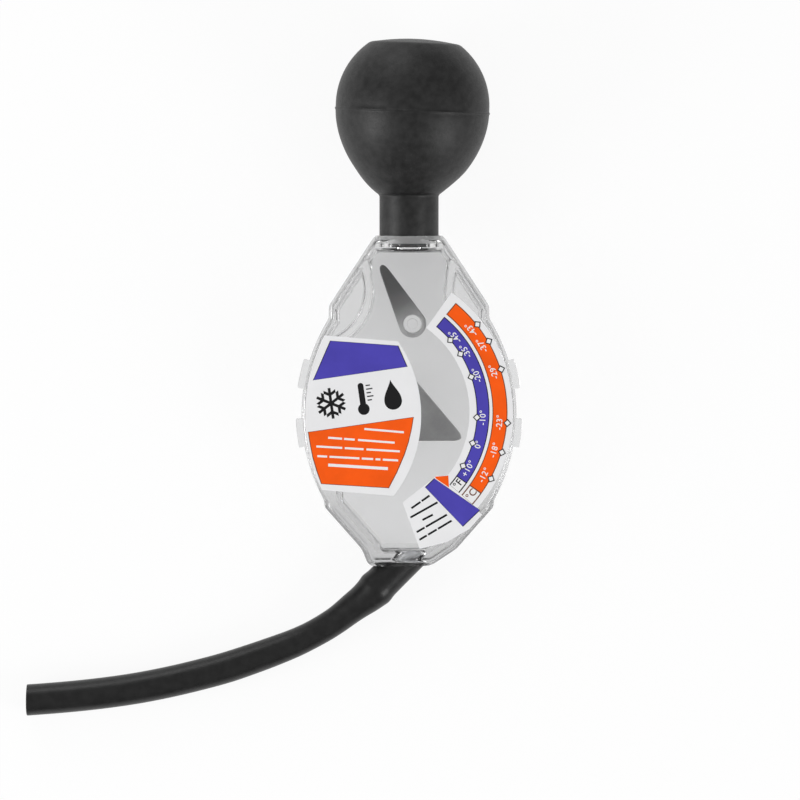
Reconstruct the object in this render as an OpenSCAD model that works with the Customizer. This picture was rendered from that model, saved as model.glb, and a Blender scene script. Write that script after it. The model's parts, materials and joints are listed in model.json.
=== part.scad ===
// Dial coolant tester: a squeeze bulb on a clear float chamber with a pointer, a level vane and a suction hose.
// It lies on its back: +X to the right of the dial, +Y towards the bulb, +Z up out of the dial face.
// The origin is on the surface that it lies on, under the middle of the tester without its hose.

/* [Bulb] */
// Outer diameter of the bulb at its mould line
bulb_d = 46.2; // [40:0.2:52]
// Height from the mould line to the flat crown
crown_h = 20.4; // [17:0.2:22]
// Straight band above the mould line
crown_band = 1.5; // [0.5:0.1:3]
// Radius of the arc that draws the bulb in towards its neck
bulb_side_r = 29; // [26:0.1:34]
// Wall of the bulb
bulb_wall = 2.6; // [1.6:0.1:3.6]
// Outer diameter of the rubber neck
neck_d = 17.7; // [15:0.1:19]
// Length of the neck from its seat to the bulb
neck_len = 16.2; // [14:0.2:24]
// Rubber around the spigot
neck_wall = 3; // [2:0.1:4]

/* [Body] */
// Width of the body at its widest
body_w = 64.4; // [56:0.2:76]
// Radius of the body's rounded sides
side_r = 54; // [48:0.5:64]
// Height of the body's upper end above its widest point
body_up = 53.4; // [48:0.2:62]
// Depth of the body's lower end below its widest point
body_down = 45.5; // [42:0.1:54]
// Thickness of the body from back to front
body_depth = 20.4; // [18:0.2:26]
// Side walls of the float chamber
wall = 1.8; // [1.2:0.1:2.4]
// Front and back walls of the float chamber
face_t = 1.8; // [1.2:0.1:2.4]
// Thickness of each shell's welding flange
flange_t = 1.6; // [1:0.1:2.4]
// Flange left showing along the rounded sides
rim_side = 0.8; // [0.4:0.1:1.6]
// Flange left showing round the upper end
rim_end = 0.8; // [0.4:0.1:1.6]
// Wall between the float chamber and the bulb's seat
top_wall = 0.8; // [0.6:0.1:2.4]
// Flange left showing round the lower end
rim_low = 1.2; // [0.8:0.1:2]
// Walls of the float chamber's lower end
wall_low = 3.2; // [2:0.1:4]
// Distance from the side in to the shoulder
shoulder_in = 8.2; // [6:0.2:10]
// Distance from the upper end down to the shoulder
shoulder_drop = 21.1; // [18:0.1:24]
// Distance from the side in to the hip
hip_in = 6.8; // [5:0.2:9]
// Distance from the lower end up to the hip
hip_rise = 17.5; // [15:0.1:20]
// Left half of the flat lower end
foot_left = 12.2; // [10:0.2:13]
// Right half of the flat lower end
foot_right = 7; // [5:0.2:9]
// Half width of the body where the lower corners begin
ankle_half = 14.2; // [13.4:0.1:16]
// Height of the lower corners
ankle_rise = 4.8; // [4:0.1:7]
// Radius of the curved rib beside each shoulder
rib_r = 17; // [15:0.2:19]
// Thickness of the curved ribs
rib_t = 2; // [1.2:0.1:2.6]
// Distance of each rib's centre from the tester's axis
rib_x = 28.9; // [27:0.1:32]
// Distance from the upper end down to the ribs' centres
rib_drop = 16; // [13:0.2:19]
// Length of each side lug
lug_len = 8.4; // [6:0.2:9]
// Height of each side lug above the body's edge
lug_proud = 1.7; // [0.8:0.1:2.4]
// Middle of the upper lugs above the widest point
lug_high = 11.7; // [10:0.1:16]
// Middle of the lower lugs below the widest point
lug_low = 5.7; // [5:0.1:12]

/* [Neck joint] */
// Depth of the neck's seat in the body
neck_seat = 3.4; // [2.4:0.1:5]
// Wall of the collar around the neck
collar_wall = 1.25; // [1:0.05:2]
// Height of the spigot above the neck's seat
spigot_len = 12; // [8:0.2:13]
// Wall of the spigot
spigot_wall = 1.8; // [1.2:0.1:2.2]

/* [Pointer] */
// Distance of the pointer's pivot to the left of the tester's axis
pivot_left = 12.8; // [11:0.1:14]
// Height of the pointer's pivot above the body's widest point
pivot_rise = 1; // [0:0.1:2]
// Length of the pointer from its pivot to its tip
pointer_len = 29.4; // [24:0.1:30]
// Thickness of the pointer float
pointer_t = 4; // [3:0.1:5]
// Radius of the pointer's round end
float_r = 9.1; // [7:0.1:9.4]
// Height of the pointer's sail above its lower edge
sail_h = 22.1; // [18:0.1:23]
// Distance of the sail's peak to the right of the pivot
sail_x = 11.4; // [9:0.1:13]
// Radius of the pointer's hub
hub_r = 3.4; // [2.6:0.1:3.8]
// Length of the pointer's hub
hub_len = 7.4; // [6:0.1:9]
// Diameter of the pointer's axle
axle_d = 2; // [1.4:0.1:2.6]
// Plastic left around the balance weight
weight_web = 0.4; // [0.3:0.1:0.8]
// Wall of the bosses that hold the axle
boss_wall = 1.6; // [1:0.1:2]
// Depth of the axle in each boss, short of the outer face
axle_cover = 0.9; // [0.6:0.1:1.1]

/* [Level vane] */
// Distance from the upper end down to the vane's pivot
vane_drop = 26.2; // [25.8:0.2:28]
// Distance of the vane's pivot to the right of the tester's axis
vane_right = 1; // [0:0.1:2]
// Length of the vane from its pivot to the centre of its tip
vane_len = 18.6; // [16:0.1:19]
// Lean of the vane to the left of the tester's axis, in degrees
vane_lean = 28; // [18:0.5:29]
// Radius of the vane's ring
vane_r = 4.1; // [3.6:0.1:4.6]
// Radius of the vane's tip
vane_tip_r = 1.2; // [0.8:0.1:1.6]
// Thickness of the vane
vane_t = 2; // [1.4:0.1:2.4]
// Diameter of the post that the vane turns on
post_d = 5.5; // [4.6:0.1:5.8]

/* [Labels] */
// Thickness of the labels
label_t = 0.2; // [0.1:0.05:0.4]
// Edge of the face left bare around the labels
label_edge = 0.5; // [0.3:0.1:1.2]
// Width of the curved scale
scale_w = 13; // [11:0.1:14]
// Upper end of the scale above the pivot's level, in degrees
scale_top = 54.5; // [50:0.5:56]
// Lower end of the scale below the pivot's level, in degrees
scale_bottom = 41.5; // [38:0.5:43]
// Length of the straight edge of the tab below the scale
tab_len = 13; // [10:0.2:14]
// Distance from the scale's end to the tab's far corner
tab_reach = 20; // [18:0.2:21]
// How far the name label reaches to the right of the pivot
name_reach = 16.4; // [15:0.1:17.5]
// Height of the name label's upper edge
name_top = 23; // [21:0.1:24]
// Depth of the name label's lower edge
name_bottom = 23.2; // [22:0.1:25]
// Radius of the name label's right edge
name_r = 39; // [34:0.5:46]
// Fall of the name label's edges across its width
name_fall = 2.9; // [0:0.1:4]

/* [Hose] */
// Outer diameter of the hose
hose_d = 9.2; // [8:0.1:10.4]
// Wall of the hose
hose_wall = 1.85; // [1.4:0.05:2.2]
// Outer diameter of the nipple
nipple_d = 6.6; // [6:0.1:7.4]
// Bore of the nipple
nipple_bore = 4; // [3:0.1:4.6]
// Length of nipple inside the hose
nipple_reach = 15; // [12:0.1:15.4]
// Slant of the nipple below the crosswise direction, in degrees
nipple_slant = 45; // [42:1:50]
// Height above the lower end where the nipple crosses the tester's axis
nipple_rise = 2.8; // [2:0.1:3.2]
// Depth of the hose's slanted end in the body's lower end
hose_sink = 1.6; // [1:0.1:2]
// Height of the nipple's barbs
barb_h = 0.3; // [0.1:0.05:0.5]
// Wall of the boss around the end of the hose
hose_boss_wall = 1.4; // [1:0.1:2]

/* [Fits] */
// Radial gap between the neck and the spigot
neck_fit = 0.05; // [0.02:0.01:0.1]
// Radial gap between the neck and the collar
collar_fit = 0.1; // [0.05:0.01:0.2]
// Radial gap of a turning fit
turn_fit = 0.06; // [0.03:0.01:0.1]
// Radial gap of a pressed or bonded fit
press_fit = 0.02; // [0.01:0.01:0.04]
// End play of a turning piece on each side
end_play = 0.3; // [0.2:0.05:0.4]
// Radial gap between the hose and its boss
hose_fit = 0.2; // [0.1:0.05:0.3]

/* [Hidden] */
$fn = 96;

// Colours
rubber_black = [0.16, 0.16, 0.16];
clear_plastic = [0.82, 0.83, 0.84, 0.45];
pointer_grey = [0.48, 0.48, 0.48];
vane_grey = [0.3, 0.3, 0.3];
steel_grey = [0.7, 0.7, 0.72];
brass_yellow = [0.72, 0.6, 0.3];
label_white = [0.93, 0.93, 0.93];
nipple_grey = [0.6, 0.6, 0.6];

// Bulb and neck
bulb_r = bulb_d / 2;
neck_r = neck_d / 2;
spigot_r = neck_r - neck_wall;
airway_r = spigot_r - spigot_wall;
neck_bore_r = spigot_r + neck_fit;
socket_r = neck_r + collar_fit;
collar_r = socket_r + collar_wall;
arc_x = bulb_r - bulb_side_r;
base_drop = sqrt(pow(bulb_side_r, 2) - pow(neck_r - arc_x, 2));
socket_y = body_up - neck_seat;
mould_y = socket_y + neck_len + base_drop;
crown_y = mould_y + crown_h;
crown_flat_r = sqrt(pow(bulb_r, 2) - pow(crown_h - crown_band, 2));

// Body
half_w = body_w / 2;
half_depth = body_depth / 2;
inner_z = half_depth - face_t;
root_z = half_depth - face_t / 2;
side_offset = side_r - half_w;
shoulder_half = half_w - shoulder_in;
shoulder_y = body_up - shoulder_drop;
hip_half = half_w - hip_in;
hip_y = body_down - hip_rise;
ankle_y = body_down - ankle_rise;
rib_y = body_up - rib_drop;
span = 4 * (body_up + body_down);
upper_points = [[-shoulder_half, 0], [shoulder_half, 0], [shoulder_half, shoulder_y], [collar_r, body_up],
                [-collar_r, body_up], [-shoulder_half, shoulder_y]];
lower_points = [[hip_half, 0], [-hip_half, 0], [-hip_half, -hip_y], [-ankle_half, -ankle_y],
                [-foot_left, -body_down], [foot_right, -body_down], [ankle_half, -ankle_y], [hip_half, -hip_y]];

// Pointer, axle and vane
axle_r = axle_d / 2;
boss_r = axle_r + boss_wall;
boss_end = hub_len / 2 + end_play;
axle_half = half_depth - axle_cover;
weight_r = (float_r - hub_r) / 2 - weight_web;
weight_x = (float_r + hub_r) / 2;
tip_r = 0.8;
tip_x = sqrt(pow(pointer_len, 2) - pow(float_r - tip_r, 2));
post_r = post_d / 2;
vane_y = body_up - vane_drop;
post_shoulder = 0.9;
post_head = 0.4;
head_t = 0.7;
vane_top = inner_z - post_shoulder;
vane_bottom = vane_top - vane_t;

// Nipple and hose
hose_r = hose_d / 2;
hose_bore_r = hose_r - hose_wall;
nipple_r = nipple_d / 2;
flare_r = nipple_r + hose_wall;
hose_socket_r = flare_r + hose_fit;
hose_boss_r = hose_socket_r + hose_boss_wall;
nipple_y = nipple_rise - body_down;
seat_y = hose_sink - body_down;
floor_y = rim_low + wall_low - body_down;
hose_seat = (nipple_y - seat_y) / sin(nipple_slant);
nipple_end = hose_seat + nipple_reach;
nipple_start = (nipple_y - floor_y) / sin(nipple_slant) - nipple_r / tan(nipple_slant);
nipple_len = nipple_end - nipple_start;
barb_pitch = 4;

// Labels
scale_margin = 1.2;
scale_out_r = half_w + pivot_left - scale_margin;
scale_in_r = scale_out_r - scale_w;
tab_side = 2.4;
tab_bar = 5.6;
name_right = name_reach - pivot_left;

// The tester lies on the lower edge of its back face and on its bulb, so its axis rises towards the bulb
rest_y = rim_low - body_down;
rest_run = mould_y - rest_y;
rest_rise = bulb_side_r - bulb_r + half_depth;
tilt = asin(bulb_side_r / norm([rest_run, rest_rise])) - atan2(rest_rise, rest_run);
lift = half_depth * cos(tilt) - rest_y * sin(tilt);
front_y = crown_y * cos(tilt) + crown_flat_r * sin(tilt);
back_y = -body_down * cos(tilt) - hose_boss_r * sin(tilt);
centre_shift = -(front_y + back_y) / 2;

// Direction of the tester's long axis as it lies
long_axis = [0, cos(tilt), sin(tilt)];

// Route of the hose past its nipple: across, along, and height above where it lies on the surface
hose_points = [[-17, -91.4, 3.8], [-22, -95.5, 3], [-27.5, -99.1, 2.2], [-33.5, -102.1, 1.4],
               [-40, -104.7, 0.7], [-47.2, -107.3, 0.2], [-55.4, -110, 0], [-64.4, -112.4, 0], [-73.5, -114.5, 0],
               [-82.5, -116.2, 0], [-91.5, -117.5, 0], [-100.5, -118.5, 0], [-108.6, -119.2, 0], [-115.4, -119.7, 0]];
hose_sides = 12;

// Inward normal of the side from one corner to the next, for corners listed anticlockwise
function side_normal(from, to) = let (along = (to - from) / norm(to - from)) [-along.y, along.x];

// A convex outline drawn in by a gap, with its corners kept sharp
function drawn_in(corners, gap) =
    let (count = len(corners))
    [for (i = [0 : count - 1])
        let (before = side_normal(corners[(i + count - 1) % count], corners[i]))
        let (after = side_normal(corners[i], corners[(i + 1) % count]))
        corners[i] + gap * (before + after) / (1 + before * after)];

// A point of the nipple's axis in the tester's own frame, and a point of that frame where the tester lies
function nipple_point(s) = [-s * cos(nipple_slant), nipple_y - s * sin(nipple_slant), 0];
function lying(p) = [p.x,
                     p.y * cos(tilt) - p.z * sin(tilt) + centre_shift,
                     p.y * sin(tilt) + p.z * cos(tilt) + lift];

// Stations of the hose: centre, outer radius and bore radius
function hose_stations() = concat(
    [for (s = [hose_seat, (hose_seat + nipple_end) / 2, nipple_end]) [lying(nipple_point(s)), flare_r, nipple_r]],
    [for (p = hose_points) [[p.x, p.y, p.z + hose_r], hose_r, hose_bore_r]]);

// One ring of points round a station, square to the route there. The first ring is slid along the nipple into the
// plane of the seat, so that the hose's end is flush with it.
function hose_ring(stations, i, radius) =
    let (last = len(stations) - 1)
    let (run = stations[min(i + 1, last)][0] - stations[max(i - 1, 0)][0])
    let (ahead = run / norm(run))
    let (across = cross(ahead, [0, 0, 1]) / norm(cross(ahead, [0, 0, 1])))
    let (up = cross(across, ahead))
    [for (k = [0 : hose_sides - 1])
        let (turn = 360 * k / hose_sides)
        let (spoke = radius * (cos(turn) * across + sin(turn) * up))
        let (slide = i > 0 ? 0 : -(spoke * long_axis) / (ahead * long_axis))
        stations[i][0] + spoke + slide * ahead];

// Two triangles for each side of a band between two rings of points
function band(first, second) =
    [for (k = [0 : hose_sides - 1])
        let (next = (k + 1) % hose_sides)
        each [[first + k, first + next, second + next], [first + k, second + next, second + k]]];

// Places a piece of the tester as it lies on the surface
module lie_down() {
    translate([0, centre_shift, lift]) rotate([tilt, 0, 0]) children();
}

// Stands a turned shape on the tester's long axis
module on_axis(y) {
    translate([0, y, 0]) rotate([-90, 0, 0]) children();
}

// Stands a turned shape on the nipple's axis, pointing out of the body
module on_nipple(s) {
    translate(nipple_point(s)) rotate([0, 0, 180 + nipple_slant]) rotate([0, 90, 0]) children();
}

// Keeps what lies below a line across the tester
module below(y) {
    intersection() {
        children();
        translate([-span / 2, y - span, -span / 2]) cube(span);
    }
}

// Stands a shape on the pointer's pivot
module on_pivot() {
    translate([-pivot_left, pivot_rise, 0]) children();
}

// Half section of the crown, drawn in by a gap
module crown_section(gap) {
    intersection() {
        union() {
            translate([0, crown_band]) circle(bulb_r - gap);
            square([bulb_r - gap, crown_band]);
        }
        square([bulb_r, crown_h - gap]);
    }
}

// Half section of the bulb below its mould line, drawn in by a gap
module base_section(gap) {
    intersection() {
        translate([arc_x, 0]) circle(bulb_side_r - gap);
        translate([0, -base_drop]) square([bulb_r, base_drop]);
    }
}

module bulb_crown() {
    color(rubber_black) lie_down() on_axis(mould_y) rotate_extrude() difference() {
        crown_section(0);
        crown_section(bulb_wall);
    }
}

module bulb_base() {
    color(rubber_black) lie_down() on_axis(mould_y) rotate_extrude() difference() {
        union() {
            base_section(0);
            translate([0, -base_drop - neck_len]) square([neck_r, neck_len + base_drop / 2]);
        }
        base_section(bulb_wall);
        translate([0, -base_drop - neck_len]) square([neck_bore_r, neck_len + base_drop / 2]);
    }
}

// The two rounded sides of the body, drawn in by a gap
module side_shape(gap) {
    intersection() {
        translate([-side_offset, 0]) circle(side_r - gap);
        translate([side_offset, 0]) circle(side_r - gap);
        translate([-body_w, gap - hip_y]) square([2 * body_w, hip_y + shoulder_y - 2 * gap]);
    }
}

// The body's outline, drawn in by one gap along its sides, one round its upper end and one round its lower end
module outline(side_gap, end_gap, low_gap) {
    side_shape(side_gap);
    polygon(drawn_in(upper_points, end_gap));
    polygon(drawn_in(lower_points, low_gap));
}

// The body's outline as far in as its dial face reaches, drawn in further by a gap
module face_outline(gap) {
    outline(rim_side + gap, rim_end + gap, rim_low + gap);
}

// The inside of the body's walls, which stops short of the bulb's seat
module inner_outline() {
    intersection() {
        outline(rim_side + wall, rim_end + wall, rim_low + wall_low);
        translate([-span / 2, -span / 2]) square([span, span / 2 + socket_y - top_wall]);
    }
}

// The lugs along the body's rounded sides
module lug_shape() {
    intersection() {
        translate([-side_offset, 0]) circle(side_r + lug_proud);
        translate([side_offset, 0]) circle(side_r + lug_proud);
        for (middle = [lug_high, -lug_low])
            translate([-body_w, middle - lug_len / 2]) square([2 * body_w, lug_len]);
    }
}

// The discs whose rims are the curved ribs beside the shoulders
module rib_discs(radius) {
    for (side = [-1, 1])
        translate([side * rib_x, rib_y]) circle(radius);
}

// What is hollow inside the two shells: the float chamber and the pockets behind its curved ribs
module hollow_shape() {
    difference() {
        inner_outline();
        rib_discs(rib_r + rib_t / 2);
    }
    intersection() {
        inner_outline();
        rib_discs(rib_r - rib_t / 2);
    }
}

// Both shells as one block, before they are hollowed
module body_block() {
    linear_extrude(2 * flange_t, center = true) {
        outline(0, 0, 0);
        lug_shape();
    }
    linear_extrude(body_depth, center = true) face_outline(0);
    on_axis(socket_y - wall) cylinder(r = collar_r, h = neck_seat + wall);
    on_axis(socket_y - wall) cylinder(r = spigot_r, h = spigot_len + wall);
    intersection() {
        on_nipple(nipple_start) cylinder(r = hose_boss_r, h = nipple_len);
        linear_extrude(body_depth, center = true) outline(0, 0, 0);
    }
}

// Both shells as one hollow body
module body_shape() {
    difference() {
        body_block();
        linear_extrude(2 * inner_z, center = true) hollow_shape();
        on_axis(socket_y) difference() {
            cylinder(r = socket_r, h = neck_seat + wall);
            cylinder(r = spigot_r, h = neck_seat + wall);
        }
        on_axis(socket_y - wall - top_wall) cylinder(r = airway_r, h = spigot_len + 2 * wall + top_wall);
        on_nipple(nipple_start) cylinder(r = nipple_r + press_fit, h = nipple_len);
        below(seat_y) on_nipple(nipple_start - hose_socket_r) cylinder(r = hose_socket_r, h = 2 * nipple_len);
    }
}

// The half of the body in front of the weld, or behind it
module half_body(side) {
    intersection() {
        body_shape();
        translate([-span / 2, -span / 2, side > 0 ? 0 : -span]) cube(span);
    }
}

// Boss that holds one end of the axle, rooted in its shell's wall
module axle_boss(side) {
    on_pivot() mirror([0, 0, side > 0 ? 0 : 1]) translate([0, 0, boss_end])
        cylinder(r = boss_r, h = root_z - boss_end);
}

// Hole that carries the axle's end into a shell's wall
module axle_hole(side) {
    on_pivot() mirror([0, 0, side > 0 ? 0 : 1]) cylinder(r = axle_r + press_fit, h = axle_half + press_fit);
}

// Post that carries the level vane, with a shoulder above it and a snap head below it
module vane_post() {
    translate([vane_right, vane_y, 0]) {
        translate([0, 0, vane_bottom - end_play - head_t])
            cylinder(r = post_r, h = root_z - vane_bottom + end_play + head_t);
        translate([0, 0, vane_top + end_play])
            cylinder(r = post_r + post_shoulder, h = root_z - vane_top - end_play);
        translate([0, 0, vane_bottom - end_play - head_t]) cylinder(r = post_r + post_head, h = head_t);
    }
}

module front_shell() {
    color(clear_plastic) lie_down() difference() {
        union() {
            half_body(1);
            axle_boss(1);
            vane_post();
        }
        axle_hole(1);
    }
}

module rear_shell() {
    color(clear_plastic) lie_down() difference() {
        union() {
            half_body(-1);
            axle_boss(-1);
        }
        axle_hole(-1);
    }
}

// The pointer's flat shape: a round end on the pivot and a sail that runs out to the tip
module pointer_shape() {
    circle(float_r);
    polygon([[0, -float_r], [tip_x, -float_r], [tip_x + tip_r / 2, 2 * tip_r - float_r],
             [sail_x, sail_h - float_r], [0, float_r]]);
}

module pointer_float() {
    color(pointer_grey) lie_down() on_pivot() difference() {
        union() {
            linear_extrude(pointer_t, center = true) pointer_shape();
            cylinder(r = hub_r, h = hub_len, center = true);
        }
        cylinder(r = axle_r + turn_fit, h = 2 * hub_len, center = true);
        translate([-weight_x, 0, 0]) cylinder(r = weight_r + press_fit, h = 2 * pointer_t, center = true);
    }
}

module balance_weight() {
    color(brass_yellow) lie_down() on_pivot() translate([-weight_x, 0, 0])
        cylinder(r = weight_r, h = pointer_t, center = true);
}

module pointer_axle() {
    color(steel_grey) lie_down() on_pivot() cylinder(r = axle_r, h = 2 * axle_half, center = true);
}

// The vane's flat shape: a ring and a tapered blade that runs up to a round tip
module vane_shape() {
    taper = asin((vane_r - vane_tip_r) / vane_len);
    circle(vane_r);
    translate([0, vane_len]) circle(vane_tip_r);
    polygon([[vane_r * cos(taper), vane_r * sin(taper)],
             [vane_tip_r * cos(taper), vane_len + vane_tip_r * sin(taper)],
             [-vane_tip_r * cos(taper), vane_len + vane_tip_r * sin(taper)],
             [-vane_r * cos(taper), vane_r * sin(taper)]]);
}

module level_vane() {
    color(vane_grey) lie_down() translate([vane_right, vane_y, vane_bottom]) difference() {
        rotate([0, 0, vane_lean]) linear_extrude(vane_t) vane_shape();
        translate([0, 0, -vane_t]) cylinder(r = post_r + turn_fit, h = 3 * vane_t);
    }
}

// Stands a flat label on the dial face and keeps it on the face
module on_face() {
    translate([0, 0, half_depth]) linear_extrude(label_t) intersection() {
        face_outline(label_edge);
        children();
    }
}

// The name label's shape: slanted upper and lower edges and a rounded right edge
module name_shape() {
    intersection() {
        translate([name_right - name_r, 0]) circle(name_r);
        polygon([[-half_w, -name_bottom + name_fall / 2], [name_right, -name_bottom - name_fall / 2],
                 [name_right, name_top - name_fall / 2], [-half_w, name_top + name_fall / 2]]);
    }
}

// The scale's shape: a sector of a ring round the pivot
module scale_shape() {
    intersection() {
        difference() {
            circle(scale_out_r);
            circle(scale_in_r);
        }
        polygon([[0, 0], 2 * scale_out_r * [cos(scale_bottom), -sin(scale_bottom)],
                 2 * scale_out_r * [1, 0], 2 * scale_out_r * [cos(scale_top), sin(scale_top)]]);
    }
}

// The tab below the scale, drawn with its first axis out from the pivot
module tab_shape() {
    rotate(-scale_bottom) polygon([[scale_in_r - tab_side, 0], [scale_in_r - 2 * tab_side, -tab_len],
                                   [scale_out_r - 2 * tab_side, -tab_reach], [scale_out_r, -tab_len],
                                   [scale_out_r + tab_side, -tab_bar], [scale_out_r + tab_side, 0]]);
}

module name_label() {
    color(label_white) lie_down() on_face() name_shape();
}

module scale_label() {
    color(label_white) lie_down() on_face() on_pivot() {
        scale_shape();
        tab_shape();
    }
}

// The nipple's inner end is trimmed flush with the chamber's floor
module hose_nipple() {
    color(nipple_grey) lie_down() below(floor_y) on_nipple(nipple_start) rotate_extrude() difference() {
        union() {
            square([nipple_r, nipple_len]);
            for (barb = [0 : 1])
                translate([0, nipple_len - (barb + 1) * barb_pitch])
                    polygon([[0, 0], [nipple_r + barb_h, 0], [nipple_r, barb_pitch / 2], [0, barb_pitch / 2]]);
        }
        square([nipple_bore / 2, nipple_len]);
    }
}

module suction_hose() {
    stations = hose_stations();
    count = len(stations);
    points = concat([for (i = [0 : count - 1]) each hose_ring(stations, i, stations[i][1])],
                    [for (i = [0 : count - 1]) each hose_ring(stations, i, stations[i][2])]);
    bore = count * hose_sides;
    last = (count - 1) * hose_sides;
    faces = concat([for (i = [0 : count - 2]) each band(i * hose_sides, (i + 1) * hose_sides)],
                   [for (i = [0 : count - 2]) each band(bore + (i + 1) * hose_sides, bore + i * hose_sides)],
                   band(bore, 0),
                   band(last, bore + last));
    color(rubber_black) polyhedron(points, faces);
}

bulb_crown();
bulb_base();
front_shell();
rear_shell();
pointer_float();
balance_weight();
pointer_axle();
level_vane();
name_label();
scale_label();
hose_nipple();
suction_hose();
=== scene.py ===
"""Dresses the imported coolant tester: detailed pieces, finishes, lights and the camera, over the CAD frame."""
import json
import logging
import math
from dataclasses import dataclass, field
from enum import Enum
from typing import Iterable, Sequence

import bmesh
import bpy
from mathutils import Matrix, Vector


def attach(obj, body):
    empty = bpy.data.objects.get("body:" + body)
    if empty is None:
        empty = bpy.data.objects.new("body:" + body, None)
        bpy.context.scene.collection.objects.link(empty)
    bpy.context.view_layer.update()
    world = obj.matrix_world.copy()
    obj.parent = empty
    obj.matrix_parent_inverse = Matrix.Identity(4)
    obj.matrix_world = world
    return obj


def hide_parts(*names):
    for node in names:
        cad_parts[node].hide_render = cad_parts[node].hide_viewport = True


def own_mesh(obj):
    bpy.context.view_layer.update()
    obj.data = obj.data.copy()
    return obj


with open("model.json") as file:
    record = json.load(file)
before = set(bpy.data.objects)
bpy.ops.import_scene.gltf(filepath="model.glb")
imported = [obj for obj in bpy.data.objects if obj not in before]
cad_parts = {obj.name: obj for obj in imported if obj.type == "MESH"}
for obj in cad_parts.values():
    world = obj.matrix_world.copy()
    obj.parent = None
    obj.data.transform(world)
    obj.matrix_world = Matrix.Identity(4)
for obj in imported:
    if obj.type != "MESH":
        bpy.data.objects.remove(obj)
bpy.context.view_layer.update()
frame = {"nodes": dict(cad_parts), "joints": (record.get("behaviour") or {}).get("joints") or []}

MM = 0.001
log = logging.getLogger("tester")

# Points round a shape: a large turned one, a small one, a fine one, the body's outline, a thin plate's
TURNED_SIDES = 144
SMALL_SIDES = 96
FINE_SIDES = 64
OUTLINE_SIDES = 720
PLATE_SIDES = 480
# Points closer than this are one, and a ray that closes on an edge more slowly than this never meets it
WELD = 1e-5
PARALLEL = 1e-9
# Where a noise's darkest and lightest tones lie, and the ends that its roughness runs between
TONE_ENDS = (0.35, 0.65)
GLOSS_ENDS = (0.3, 0.7)
# A mould's grain: its size in millimetres and octaves, its uneven gloss, its bump's strength and depth
MOULD_GRAIN = (0.25, 3.0)
MOULD_UNEVEN = 0.07
MOULD_BUMP = (0.2, 0.03)

Colour = tuple[float, float, float, float]
Flat = tuple[float, float]
Place = tuple[float, float, float]
Disc = tuple[Flat, float]
Row = tuple[Flat, Flat, tuple[Flat, ...]]

# Places that several sub-assemblies share, in the tester's own millimetres
PIVOT: Flat = (-12.8, 1.0)
VANE_AT: Flat = (1.0, 27.2)
VANE_SPAN: Flat = (5.5, 7.5)
NIPPLE_Y = -42.7
NIPPLE_SLANT = 45.0
NIPPLE_SPAN: Flat = (-5.563, 16.697)
HOSE_SEAT_Y = -43.9
# Row's Y in millimetres, and the share of a clear plastic's tint there. Both lists are painted shade: the misty
# floor darkens towards the neck, where the collar and bulb would shade it
MISTY_PAINTED_SHADE: tuple[Flat, ...] = ((-17.0, 1.0), (13.0, 0.72))
# Painted shade: the dull walls darken at the thick foot and towards the ribs' upper end, for light lost in the
# thick plastic
DULL_PAINTED_SHADE: tuple[Flat, ...] = ((-62.0, 0.77), (-48.0, 1.0), (-15.0, 1.0), (3.0, 0.9))
# Share of the way from the vane's post to its tip, and the grey there
VANE_GREYS: tuple[Flat, ...] = ((0.0, 0.4), (0.15, 0.27), (0.35, 0.12), (0.6, 0.05), (1.0, 0.033))


class Cut(Enum):
    """What a tool shape does to the body that it meets."""

    JOIN = "UNION"
    CARVE = "DIFFERENCE"
    KEEP = "INTERSECT"


class Half(Enum):
    """The shell in front of the weld, or the one behind it."""

    FRONT = 1
    REAR = -1


class Body(Enum):
    """The rigid bodies that pieces ride on, by the names that the frame gives them."""

    HOUSING = "housing"
    POINTER = "pointer"
    VANE = "vane"


class Crease(Enum):
    """The angle in degrees past which an edge stays sharp, by how the piece is made."""

    TURNED = 30
    PLATE = 34
    RUBBER = 40
    HOSE = 50


def joint(name: str) -> dict:
    """Finds a joint of the frame."""
    return next(entry for entry in frame["joints"] if entry["name"] == name)


def lying_matrix() -> Matrix:
    """Works out where the tester's own frame lies, from the hinge that its pointer turns on.

    Returns:
        The matrix from the tester's own millimetres to the row frame's metres.
    """
    hinge = joint("pointer_swing")
    out = Vector(hinge["axis"]).normalized()
    across = Vector((1.0, 0.0, 0.0))
    along = out.cross(across)
    turned = Matrix((across, along, out)).transposed().to_4x4()
    place = Matrix.Translation((0.0, hinge["pos_m"][1], hinge["pos_m"][2]))
    return place @ turned @ Matrix.Scale(MM, 4) @ Matrix.Translation((0.0, -PIVOT[1], 0.0))


LYING = lying_matrix()


def stood(name: str, data: bpy.types.ID) -> bpy.types.Object:
    """Makes an object and links it to the scene.

    Args:
        name: Name of the object.
        data: Its mesh, curve, lamp or camera.

    Returns:
        The object.
    """
    made = bpy.data.objects.new(name, data)
    bpy.context.scene.collection.objects.link(made)
    return made


def polar(angle: float, radius: float = 1.0) -> Flat:
    """Gives a flat point from its angle in degrees and its radius."""
    return radius * math.cos(math.radians(angle)), radius * math.sin(math.radians(angle))


def arc(centre: Flat, radius: float, start: float, end: float, steps: int) -> list[Flat]:
    """Samples a circular arc between two angles in degrees, with both ends."""
    angles = [start + (end - start) * step / steps for step in range(steps + 1)]
    return [(centre[0] + polar(a, radius)[0], centre[1] + polar(a, radius)[1]) for a in angles]


def bezier(start: Flat, lead: Flat, trail: Flat, end: Flat, steps: int) -> list[Flat]:
    """Samples a cubic curve.

    Args:
        start: First point.
        lead: Handle of the first point.
        trail: Handle of the last point.
        end: Last point.
        steps: How many stretches it has.

    Returns:
        The curve's points, both ends included.
    """
    points = []
    for step in range(steps + 1):
        t = step / steps
        weights = ((1 - t) ** 3, 3 * t * (1 - t) ** 2, 3 * t * t * (1 - t), t ** 3)
        corners = (start, lead, trail, end)
        points.append((sum(w * c[0] for w, c in zip(weights, corners)),
                       sum(w * c[1] for w, c in zip(weights, corners))))
    return points


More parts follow.
